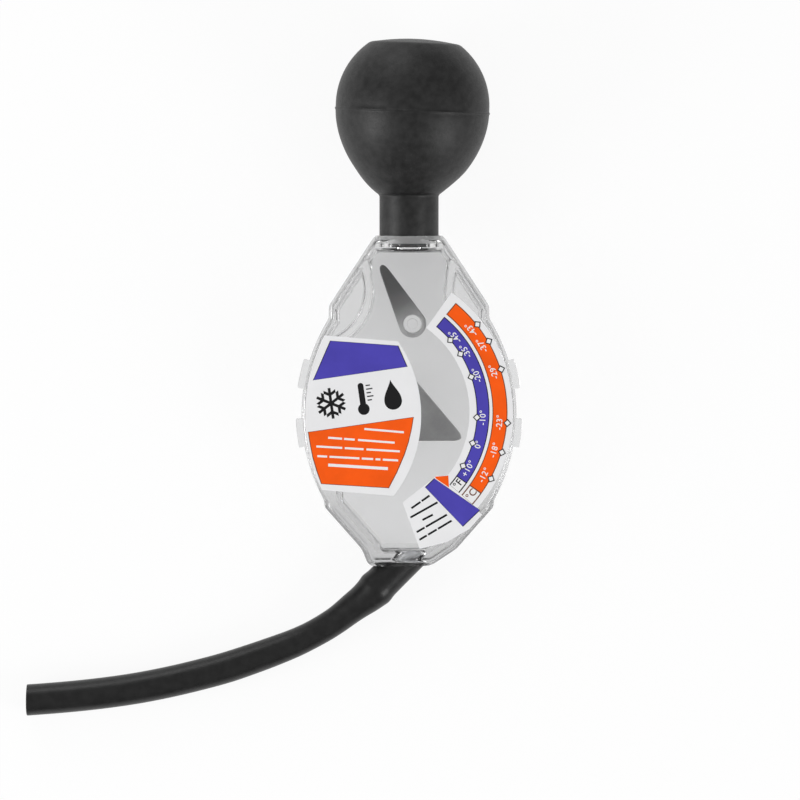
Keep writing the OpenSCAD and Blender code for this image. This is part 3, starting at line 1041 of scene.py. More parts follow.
@dataclass
class SuctionHose:
    """The black hose, stretched over its nipple and lying on the surface to its plain cut end."""

    radius: float = 4.6
    wall: float = 1.85
    nipple_reach: float = 15.0
    overlap: float = 7.0
    sides: int = 64
    spacing: float = 0.7
    # Distance from the seat, and the outer radius there
    girths: tuple[Flat, ...] = (
        (0.0, 5.3), (3.0, 5.3), (7.0, 5.33), (14.5, 5.33), (16.3, 5.05), (18.0, 4.75), (20.0, 4.62),
        (23.5, 4.35), (27.0, 4.2), (37.0, 4.15), (50.0, 4.5), (62.0, 4.67), (90.0, 4.7), (200.0, 4.7))
    # Where the nipple's barb lifts the hose, by how much, and over what length
    barb_bulge: Place = (12.4, 0.3, 1.6)
    end_slant: float = 4.5
    end_edge: float = 0.25
    edge_angle: float = 60.0
    knife: float = 20.0
    knife_span: Flat = (-20.0, 40.0)
    seat_box: Flat = (60.0, 40.0)
    slack: float = 0.001
    shift: float = 0.45
    route: tuple[Place, ...] = (
        (-16.9, -91.8, 3.8), (-22.0, -95.7, 3.0), (-27.5, -99.1, 2.2), (-33.5, -102.1, 1.4),
        (-40.0, -104.7, 0.7), (-47.2, -107.3, 0.2), (-55.4, -110.0, 0.0), (-64.4, -112.4, 0.0),
        (-73.5, -114.5, 0.0), (-82.5, -116.2, 0.0), (-91.5, -117.5, 0.0), (-100.5, -118.5, 0.0),
        (-108.6, -119.2, 0.0), (-115.4, -119.7, 0.0))

    @property
    def seat(self) -> float:
        """Distance along the nipple's axis to the plane that the hose is pushed up to."""
        return (NIPPLE_Y - HOSE_SEAT_Y) / math.sin(math.radians(NIPPLE_SLANT))

    def nipple_point(self, along: float) -> Vector:
        """Gives a point of the nipple's axis, in the tester's own frame."""
        way = polar(180 + NIPPLE_SLANT, along)
        return Vector((way[0], NIPPLE_Y + way[1], 0.0))

    def centreline(self) -> list[Vector]:
        """Runs one smooth curve through the nipple's axis and the route, from a little above the seat.

        Returns:
            Points of the centreline in metres, close together.
        """
        end = self.seat + self.nipple_reach
        along = (self.seat - self.overlap, self.seat, (self.seat + end) / 2, end)
        stations = [LYING @ self.nipple_point(s) for s in along]
        resting = self.girths[-1][1]
        stations += [Vector((x, y + self.shift, z + resting)) * MM for x, y, z in self.route]
        first = stations[0] * 2 - stations[1]
        last = stations[-1] * 2 - stations[-2]
        knots = [first, *stations, last]
        points = []
        for k in range(1, len(knots) - 2):
            before, start, finish, after = knots[k - 1:k + 3]
            steps = max(2, round((finish - start).length / (self.spacing * MM)))
            for step in range(steps):
                t = step / steps
                points.append(0.5 * (2 * start + (finish - before) * t
                                     + (2 * before - 5 * start + 4 * finish - after) * t ** 2
                                     + (3 * start - before - 3 * finish + after) * t ** 3))
        return [*points, stations[-1]]

    def outer_radius(self, along: float) -> float:
        """Gives the hose's outer radius: stretched over the nipple, and a little drawn in where it bends.

        Args:
            along: Distance from the hose's seat, in millimetres.

        Returns:
            The radius in millimetres.
        """
        samples = []
        for step in range(-4, 5):
            at = max(0.0, along + step / 2)
            pairs = zip(self.girths, self.girths[1:])
            near, far = next((low, high) for low, high in pairs if low[0] <= at <= high[0])
            share = (at - near[0]) / (far[0] - near[0])
            samples.append(near[1] + share * (far[1] - near[1]))
        middle, rise, spread = self.barb_bulge
        return sum(samples) / len(samples) + rise * math.exp(-((along - middle) / spread) ** 2)

    @staticmethod
    def tube_tree() -> bpy.types.NodeTree:
        """Builds the nodes that sweep a round tube along a line of points.

        Returns:
            The node tree, with its sides and its finish as inputs.
        """
        desk = GeometryDesk("hose_tube", Line="Geometry", Sides="Int", Finish="Material")
        line = desk.add("GeometryNodeMeshToCurve")
        circle = desk.add("GeometryNodeCurvePrimitiveCircle", Radius=1.0)
        sweep = desk.add("GeometryNodeCurveToMesh")
        desk.wire(desk.given.outputs["Line"], line.inputs["Mesh"])
        desk.wire(desk.given.outputs["Sides"], circle.inputs["Resolution"])
        desk.wire(line.outputs["Curve"], sweep.inputs["Curve"])
        desk.wire(circle.outputs["Curve"], sweep.inputs["Profile Curve"])
        desk.wire(desk.attribute("girth"), sweep.inputs["Scale"])
        return desk.close(sweep.outputs["Mesh"])

    def hollow(self, hose: bpy.types.Object, start: Vector) -> None:
        """Turns the swept skin outwards and gives it a wall on its inside.

        Args:
            hose: The hose.
            start: First point of its centreline.
        """
        skin = bmesh.new()
        skin.from_mesh(hose.data)
        bmesh.ops.recalc_face_normals(skin, faces=skin.faces)
        outward = sum((f.normal.dot(f.calc_center_median() - start) for f in skin.faces[:self.sides]), 0.0)
        if outward < 0:
            bmesh.ops.reverse_faces(skin, faces=skin.faces)
        skin.to_mesh(hose.data)
        skin.free()
        bore = hose.modifiers.new("wall", "SOLIDIFY")
        bore.thickness = self.wall * MM
        bore.offset = -1.0
        Bench.settle_modifier(hose)

    def trim(self, hose: bpy.types.Object, points: Sequence[Vector]) -> None:
        """Cuts the free end a little askew, as a knife leaves it.

        Args:
            hose: The hose.
            points: Its centreline.
        """
        way = (points[-1] - points[-2]).to_2d().normalized()
        way.rotate(Matrix.Rotation(math.radians(-self.end_slant), 2))
        across = Vector((-way.y, way.x))
        low = points[-1].to_2d() / MM - self.radius * math.sin(math.radians(self.end_slant)) * way
        out, side = self.knife * way, self.knife * across
        corners = [low - side, low + out - side, low + out + side, low + side]
        wedge = Shape().prism([tuple(c) for c in corners], *self.knife_span).piece("wedge")
        wedge.data.transform(Matrix.Scale(MM, 4))
        Bench.cut(hose, wedge, Cut.CARVE)

    def build(self, rubber: bpy.types.Material, nipple: bpy.types.Object) -> bpy.types.Object:
        """Args:
            rubber: Its finish.
            nipple: The nipple that it is pushed over; not used.

        Returns:
            The hose.
        """
        points = self.centreline()
        lengths = [-self.overlap * MM]
        for before, after in zip(points, points[1:]):
            lengths.append(lengths[-1] + (after - before).length)
        mesh = bpy.data.meshes.new("hose")
        mesh.from_pydata([tuple(p) for p in points], [(k, k + 1) for k in range(len(points) - 1)], [])
        girth = mesh.attributes.new("girth", "FLOAT", "POINT")
        girth.data.foreach_set("value", [self.outer_radius(s / MM) * MM for s in lengths])
        hose = stood("hose", mesh)
        Bench.grow(hose, self.tube_tree(), Sides=self.sides, Finish=rubber)
        self.hollow(hose, points[0])
        Bench.ease(hose, self.end_edge * MM, self.edge_angle)
        half, deep = self.seat_box
        above = Shape().slab(half, (HOSE_SEAT_Y, 0.0), (-deep, deep)).piece("above")
        Bench.lay_down(above)
        Bench.cut(hose, above, Cut.CARVE)
        self.trim(hose, points)
        Bench.smooth(hose, Crease.HOSE)
        hand_over(hose, [rubber], Body.HOUSING, "hose_rubber", "suction_hose")
        log.info("the hose is %.1f mm long", lengths[-1] / MM)
        return hose


@dataclass
class SqueezeBulb:
    """The rubber bulb with its flat crown, its mould line and its straight neck."""

    radius: float = 22.98
    mould_y: float = 90.6
    crown_h: float = 20.4
    crown_band: float = 1.5
    crown_edge: float = 3.4
    crown_bulge: float = 1.1
    lean: float = 2.3
    lean_over: float = 8.0
    wall: float = 2.6
    neck_r: float = 8.85
    neck_bore: float = 5.9
    neck_end: float = 50.0
    neck_edge: float = 0.6
    root_y: float = 65.65
    root_flare: float = 0.35
    root_fillet: float = 1.2
    root_drop: float = 0.85
    root_lead: Flat = (10.5, 8.0)
    side_trail: float = 6.5
    least_edge: float = 0.4
    crown_turn: float = 84.0
    crown_sink: float = 0.01
    seam_proud: float = 0.22
    seam_half: float = 0.55

    def lower_side(self) -> list[Flat]:
        """Draws the bulb's side from its root at the neck up to its mould line.

        Returns:
            Radius and distance along the tester of each point.
        """
        start = (self.neck_r + self.root_flare, self.root_y)
        lead = (start[0] + self.root_lead[0], start[1] + self.root_lead[1])
        trail = (self.radius, self.mould_y - self.side_trail)
        return bezier(start, lead, trail, (self.radius, self.mould_y), 40)

    def leaned(self, at: Vector) -> Vector:
        """Turns a point of the ball about its root, less and less towards the neck.

        Args:
            at: The point before it leans.

        Returns:
            The point where it lies.
        """
        up = at.y - self.root_y
        share = min(1.0, max(0.0, up / self.lean_over))
        c, s = polar(-self.lean * share * share * (3 - 2 * share))
        return Vector((at.x * c - up * s, self.root_y + at.x * s + up * c, at.z))

    def upper_side(self, gap: float) -> list[Flat]:
        """Draws the crown from above the mould line to its middle.

        Args:
            gap: How far it is drawn in.

        Returns:
            Radius and distance along the tester of each point.
        """
        centre_y = self.mould_y + self.crown_band
        ball = self.radius - gap
        top = self.mould_y + self.crown_h - gap
        edge = max(self.least_edge, self.crown_edge - gap)
        edge_y = top - edge
        edge_x = math.sqrt((ball - edge) ** 2 - (edge_y - centre_y) ** 2)
        meet = math.degrees(math.atan2(edge_y - centre_y, edge_x))
        side = arc((0.0, centre_y), ball, 0, meet, 36)
        corner = arc((edge_x, edge_y), edge, meet, self.crown_turn, 8)
        shares = [1 - k / 10 for k in range(1, 11)]
        dome = [(edge_x * s, top + self.crown_bulge * (1 - s ** 2) - self.crown_sink) for s in shares]
        return side + corner + dome

    def seam(self) -> list[Flat]:
        """Draws the thin bead of the mould line."""
        shares = [k / 4 for k in range(-4, 5)]
        rises = [self.seam_proud * math.cos(math.pi / 2 * s) ** 2 for s in shares]
        return [(self.radius + rise, self.mould_y + self.seam_half * s) for s, rise in zip(shares, rises)]

    def build(self, rubber: bpy.types.Material) -> None:
        """Makes the ball, which squashes with the crown, and the neck, which stays.

        Args:
            rubber: Their finish.
        """
        below = [p for p in self.lower_side() if p[1] < self.mould_y - self.seam_half]
        above = [p for p in self.upper_side(0.0) if p[1] > self.mould_y + self.seam_half]
        outer = below + self.seam() + above
        inner = self.upper_side(self.wall)[::-1]
        inner += [(max(self.neck_bore, r - self.wall), y) for r, y in reversed(below)]
        ball = Shape().turned(LENGTHWISE, outer + inner, hollow=True).piece("bulb_ball")
        for vertex in ball.data.vertices:
            vertex.co = self.leaned(vertex.co)
        Bench.smooth(ball, Crease.RUBBER)
        Bench.lay_down(ball)
        hand_over(ball, [rubber], Body.HOUSING, "bulb_rubber", "bulb_crown", "bulb_base")
        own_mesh(ball)
        self.neck(rubber)

    def neck(self, rubber: bpy.types.Material) -> None:
        """Makes the straight neck, with a rounded foot and a fillet up to the ball.

        Args:
            rubber: Its finish.
        """
        edge = self.neck_edge
        foot = arc((self.neck_r - edge, self.neck_end + edge), edge, -90, 0, 4)
        fillet = self.root_fillet
        top = arc((self.neck_r + fillet, self.root_y - self.root_drop), fillet, 180, 135, 6)
        outer = foot + top + [(self.neck_r + self.root_flare, self.root_y)]
        inner = [(self.neck_bore, self.root_y), (self.neck_bore, self.neck_end)]
        neck = Shape().turned(LENGTHWISE, outer + inner, hollow=True).piece("bulb_neck")
        Bench.smooth(neck, Crease.RUBBER)
        Bench.lay_down(neck)
        hand_over(neck, [rubber], Body.HOUSING, "bulb_rubber", "bulb_base")


@dataclass
class FloatChamber:
    """The two clear shells: domes, flange, lugs, ribs, collar, spigot, bosses and the vane's post."""

    half_w: float = 32.2
    side_r: float = 54.0
    body_up: float = 53.4
    body_down: float = 45.5
    half_depth: float = 10.2
    wall: float = 1.8
    wall_low: float = 3.8
    face_t: float = 1.8
    flange_t: float = 1.6
    flange_edge: float = 0.6
    rims: tuple[float, ...] = (0.8, 0.8, 1.2, 1.2)
    shoulder: Flat = (24.0, 32.3)
    hip: Flat = (25.4, 28.0)
    ankle: Flat = (14.2, 40.7)
    foot_left: float = 12.2
    foot_right: float = 7.0
    rib_centre: Flat = (28.9, 37.4)
    rib_r: float = 17.0
    rib_t: float = 2.0
    pocket: Flat = (17.5, 29.0)
    lug_len: float = 8.4
    lug_proud: float = 1.7
    lug_root: float = 0.6
    lug_edge: float = 0.35
    lug_angle: float = 40.0
    lugs: Flat = (11.7, -5.7)
    collar_r: float = 10.2
    collar_edge: float = 0.4
    collar_ease: Flat = (0.12, 0.1)
    socket_r: float = 8.95
    socket_y: float = 50.0
    spigot_r: float = 5.85
    spigot_len: float = 12.0
    spigot_edge: float = 0.5
    airway_r: float = 4.05
    airway_in: float = 8.0
    airway_over: float = 1.0
    nipple_r: float = 3.32
    hose_socket_r: float = 5.35
    hose_socket_span: Flat = (-14.0, 20.0)
    hose_socket_box: Place = (40.0, 30.0, 20.0)
    hose_boss_r: float = 6.75
    hose_boss_edge: float = 0.3
    axle_r: float = 1.02
    boss_r: float = 2.6
    boss_end: float = 4.0
    boss_edge: float = 0.3
    boss_root: float = 0.5
    boss_fillet: float = 0.15
    axle_half: float = 9.32
    post_r: float = 2.75
    post_root: float = 0.9
    post_core: float = 1.5
    core_draft: float = 0.15
    core_over: float = 2.0
    head_proud: float = 0.4
    head_t: float = 0.7
    head_edge: float = 0.2
    end_play: float = 0.3
    edge: float = 0.9
    draft: float = 0.25
    # Share of the rim and height above the flange of the two rings at a dome's foot
    dome_foot: tuple[Flat, Flat] = ((0.9, 0.08), (1.0, 0.45))
    face_inset: float = 0.25
    wall_draft: float = 0.45
    low_draft: float = 0.95
    floor_edge: float = 0.9
    waist: float = 14.0
    top_lift: float = -1.6
    weld: float = 0.02
    seat_line: float = 1.1
    seat_step: float = 0.05
    groove_over: float = 0.6
    # How near a face lies to the surface that it is taken for
    near: float = 0.1
    near_sleeve: float = 0.08
    # How squarely a face looks up for the misty floor, and up or down for the dial and the back
    floor_facing: float = 0.9
    dial_facing: float = 0.95

    @property
    def inner_z(self) -> float:
        """Height of the inside of the dial face."""
        return self.half_depth - self.face_t

    @property
    def rib_centres(self) -> list[Flat]:
        """Centres of the left and the right rib's curve."""
        return [(side * self.rib_centre[0], self.rib_centre[1]) for side in (-1, 1)]

    def parts(self, about: Flat = (0.0, 0.0), lift: float = 0.0,
              waist: float | None = None) -> tuple[Convex, ...]:
        """Describes the body's outline: its rounded sides, its upper end, its tapered lower end and its foot.

        Args:
            about: The middle that the outline is seen from.
            lift: How much higher the upper end is, with its slopes run on, or lower where it is negative.
            waist: How far below the middle the rounded sides end, or None to end them at the hips.

        Returns:
            The four parts.
        """
        x, y = about
        side_foot = self.hip[1] if waist is None else waist
        offset = self.side_r - self.half_w
        sides = Convex(circles=(((-offset - x, -y), self.side_r), ((offset - x, -y), self.side_r)),
                       span=(-side_foot - y, self.shoulder[1] - y))
        s, h, a = self.shoulder, self.hip, self.ankle
        top = self.body_up + lift
        brow = self.collar_r - lift * (s[0] - self.collar_r) / (self.body_up - s[1])
        upper = [(-s[0], 0), (s[0], 0), s, (brow, top), (-brow, top), (-s[0], s[1])]
        run_out = a[0] - (self.body_down - a[1]) * (h[0] - a[0]) / (a[1] - h[1])
        right = [(self.foot_right, -self.body_down), (a[0], -a[1])]
        left = [(-h[0], 0), (-h[0], -h[1]), (-run_out, -self.body_down)]
        lower = [(h[0], 0), *left, *right, (h[0], -h[1])]
        foot = [(a[0], 0), (-a[0], 0), (-a[0], -a[1]), (-self.foot_left, -self.body_down), *right]
        ends = [tuple((px - x, py - y) for px, py in corners) for corners in (upper, lower, foot)]
        return sides, *(Convex(corners=corners) for corners in ends)

    def outline(self) -> Region:
        """Describes the whole outline of the body."""
        return Region(self.parts())

    def inner_gaps(self) -> tuple[float, ...]:
        """Gives how far the inside of the walls is drawn in along the sides and round the two ends."""
        low = self.rims[2] + self.wall_low
        return self.rims[0] + self.wall, self.rims[1] + self.wall, low, low

    def block(self) -> Shape:
        """Lofts the outside of both shells: the domes and the flange between them.

        Returns:
            The block.
        """
        region = self.outline()
        stations = [(0.0, 0.0, 0.0)]
        stations += [(0.0, extra, self.flange_t - drop) for extra, drop in eased_edge(self.flange_edge, 4)]
        stations += [(share, 0.0, self.flange_t + rise) for share, rise in self.dome_foot]
        rings = [region.ring(z, [share * rim for rim in self.rims], extra) for share, extra, z in stations]
        for extra, drop in eased_edge(self.edge, 5):
            rings.append(region.ring(self.half_depth - drop, self.rims, self.draft + extra))
        rings.append(region.ring(self.half_depth, self.rims, self.draft + self.edge + self.face_inset))
        below = [[Vector((p.x, p.y, -p.z)) for p in ring] for ring in reversed(rings[1:])]
        return Shape().loft(below + rings[1:])

    def chamber(self, rib_reach: float) -> Region:
        """Describes the float chamber's outline, clear of two discs of a given radius at the ribs."""
        discs = tuple((centre, rib_reach) for centre in self.rib_centres)
        return Region(self.parts(lift=self.top_lift, waist=self.waist), clear_of=discs)

    def hollows(self) -> Shape:
        """Lofts what is hollow inside: the float chamber and the two pockets behind its curved ribs.

        Returns:
            The hollows, one shape.
        """
        gaps = self.inner_gaps()
        regions = [self.chamber(self.rib_r + self.rib_t / 2)]
        for side, centre in zip((-1, 1), self.rib_centres):
            middle = (side * self.pocket[0], self.pocket[1])
            disc = ((centre[0] - middle[0], centre[1] - middle[1]), self.rib_r - self.rib_t / 2)
            regions.append(Region(self.parts(middle), middle=middle, inside=(disc,)))
        shape = Shape()
        for region in regions:
            eased = eased_edge(self.floor_edge, 5)
            wide = (*gaps[:2], *(gap - self.low_draft for gap in gaps[2:]))
            levels = [(gaps, extra, -self.inner_z + drop) for extra, drop in reversed(eased)]
            levels.append((wide, -self.wall_draft, 0.0))
            levels += [(gaps, extra, self.inner_z - drop) for extra, drop in eased]
            shape.loft([region.ring(z, inset, extra, soft=1) for inset, extra, z in levels])
        return shape

    def lug_pieces(self) -> Shape:
        """Draws the four lugs along the rounded sides.

        Returns:
            The lugs, one shape.
        """
        shape = Shape()
        offset = self.side_r - self.half_w
        for middle in self.lugs:
            heights = [middle + half * self.lug_len / 2 for half in (-1, 1)]
            ends = [math.degrees(math.asin(height / self.side_r)) for height in heights]
            bar = arc((-offset, 0), self.side_r + self.lug_proud, ends[0], ends[1], 8)
            bar += arc((-offset, 0), self.side_r - self.lug_root, ends[1], ends[0], 8)
            shape.prism(bar, -self.flange_t, self.flange_t)
            shape.prism([(-x, y) for x, y in reversed(bar)], -self.flange_t, self.flange_t)
        return shape

    def nipple_axis(self) -> Spindle:
        """Gives the axis of the nipple's bore."""
        return Spindle((0.0, NIPPLE_Y, 0.0), (*polar(180 + NIPPLE_SLANT), 0.0))

    def whole(self) -> bpy.types.Object:
        """Makes both shells as one hollow body.

        Returns:
            The body, still in the tester's own millimetres.
        """
        body = self.block().piece("shells")
        low, lip = self.socket_y - self.wall, self.body_up
        r, edge, (inward, down) = self.collar_r, self.collar_edge, self.collar_ease
        collar = [(r, low), (r, lip - edge), (r - inward, lip - down), (r - edge, lip)]
        Bench.turn(body, Cut.JOIN, LENGTHWISE, collar)
        r, edge, tip = self.spigot_r, self.spigot_edge, self.socket_y + self.spigot_len
        Bench.turn(body, Cut.JOIN, LENGTHWISE, [(r, low), (r, tip - edge), (r - edge, tip)])
        boss_wall = [(self.hose_boss_r, s) for s in NIPPLE_SPAN]
        boss = Shape().turned(self.nipple_axis(), boss_wall).piece("hose_boss")
        limit = plate(self.outline(), (0.0,) * 4, -self.half_depth, self.half_depth, self.hose_boss_edge)
        Bench.cut(boss, limit.piece("limit"), Cut.KEEP)
        Bench.cut(body, boss, Cut.JOIN)
        lugs = self.lug_pieces().piece("lugs")
        Bench.ease(lugs, self.lug_edge, self.lug_angle)
        Bench.cut(body, lugs, Cut.JOIN)
        Bench.cut(body, self.hollows().piece("hollows"), Cut.CARVE)
        self.bore(body)
        return body

    def bore(self, body: bpy.types.Object) -> None:
        """Opens the groove for the bulb's neck, the airway, the nipple's bore and the hose's socket.

        Args:
            body: Both shells as one body.
        """
        line, lip = self.socket_y + self.seat_line, self.body_up + self.groove_over
        wide = self.socket_r + self.seat_step
        groove = [(self.socket_r, self.socket_y), (self.socket_r, line), (wide, line), (wide, lip),
                  (self.spigot_r, lip), (self.spigot_r, self.socket_y)]
        Bench.turn(body, Cut.CARVE, LENGTHWISE, groove, hollow=True)
        tip = self.socket_y + self.spigot_len
        airway = (self.socket_y - self.airway_in, tip + self.airway_over)
        Bench.turn(body, Cut.CARVE, LENGTHWISE, [(self.airway_r, s) for s in airway])
        nipple = self.nipple_axis()
        Bench.turn(body, Cut.CARVE, nipple, [(self.nipple_r, s) for s in NIPPLE_SPAN])
        socket_wall = [(self.hose_socket_r, s) for s in self.hose_socket_span]
        socket = Shape().turned(nipple, socket_wall).piece("socket")
        half, long, deep = self.hose_socket_box
        below = Shape().slab(half, (HOSE_SEAT_Y - long, HOSE_SEAT_Y), (-deep, deep)).piece("below")
        Bench.cut(socket, below, Cut.KEEP)
        Bench.cut(body, socket, Cut.CARVE)

    def post(self, boss: Shape, hole: Shape, root: float) -> None:
        """Draws the vane's post with its snap head, and the core in it.

        Args:
            boss: What is added to the front shell.
            hole: What is taken out of it.
            root: Height of the post's root in the dial face.
        """
        stand = upright(VANE_AT)
        r, low, high = self.post_r, VANE_SPAN[0] - self.end_play, VANE_SPAN[1] + self.end_play
        wide, foot, edge = r + self.head_proud, r + self.post_root, self.head_edge
        head = [(r - edge, low - self.head_t), (wide, low - edge), (wide, low)]
        boss.turned(stand, [*head, (r, low), (r, high), (foot, high), (foot, root)])
        core = self.post_core
        hole.turned(stand, [(core + self.core_draft, low - self.core_over), (core, VANE_SPAN[1])])

    def half(self, body: bpy.types.Object, side: Half) -> bpy.types.Object:
        """Cuts one shell out of the body and adds its boss, and the post to the front one.

        Args:
            body: Both shells as one body.
            side: Which shell.

        Returns:
            The shell.
        """
        shell = stood("shell_front" if side is Half.FRONT else "shell_rear", body.data.copy())
        reach = 2 * (self.body_up + self.body_down)
        ends = sorted((side.value * self.weld, side.value * reach))
        Bench.cut(shell, Shape().slab(reach, (-reach, reach), tuple(ends)).piece("space"), Cut.KEEP)
        pivot = upright(PIVOT, float(side.value))
        root = self.half_depth - self.face_t / 2
        r, low, top, edge = self.boss_r, self.boss_end, self.inner_z, self.boss_edge
        foot, fillet = self.boss_root, self.boss_fillet
        stem = [(r - edge, low), (r, low + edge), (r, top - foot)]
        boss = Shape().turned(pivot, [*stem, (r + fillet, top - fillet), (r + foot, top), (r + foot, root)])
        hole = Shape().turned(pivot, [(self.axle_r, 0.0), (self.axle_r, self.axle_half)])
        if side is Half.FRONT:
            self.post(boss, hole, root)
        Bench.cut(shell, boss.piece("boss"), Cut.JOIN)
        Bench.cut(shell, hole.piece("hole"), Cut.CARVE)
        return shell

    def mark(self, shell: bpy.types.Object) -> list[int]:
        """Sorts a shell's faces by finish: clear dial and back, misty floor and collar, and duller edges.

        Args:
            shell: The shell, still in the tester's own millimetres.

        Returns:
            The finish's slot of each face: clear, misty or dull.
        """
        gaps = self.inner_gaps()
        chamber = self.chamber(self.rib_r)
        slots = []
        for face in shell.data.polygons:
            at = face.center
            flat = Vector((at.x, at.y))
            round_axis = math.hypot(at.x, at.z)
            floor = face.normal.z > self.floor_facing and at.z < -self.inner_z + self.near
            above_seat = at.y > self.socket_y + self.seat_line
            sleeve = above_seat and abs(round_axis - self.socket_r) < self.near_sleeve
            if sleeve or (floor and flat.length < chamber.reach(flat.normalized(), gaps)):
                slots.append(1)
            elif abs(face.normal.z) > self.dial_facing and abs(at.z) > self.inner_z - self.near:
                slots.append(0)
            else:
                slots.append(2)
        return slots

    def build(self, clear: bpy.types.Material, misty: bpy.types.Material, dull: bpy.types.Material) -> None:
        """Makes the two shells.

        Args:
            clear: Finish of the dial and the back.
            misty: Finish of the chamber's back wall and of the collar's inside.
            dull: Finish of the walls and edges.
        """
        body = self.whole()
        for side, node in ((Half.FRONT, "front_shell"), (Half.REAR, "rear_shell")):
            shell = self.half(body, side)
            Bench.smooth(shell, Crease.PLATE)
            slots = self.mark(shell)
            Bench.lay_down(shell)
            hand_over(shell, [clear, misty, dull], Body.HOUSING, "clear_plastic", node)
            shell.data.polygons.foreach_set("material_index", slots)
        bpy.data.objects.remove(body)


class Ink(Enum):
    """The inks of the two labels, by the names of their finishes."""

    VIOLET = "violet_ink"
    ORANGE = "orange_ink"
    BLACK = "black_ink"
    BROWN = "brown_ink"
    WHITE = "white_ink"


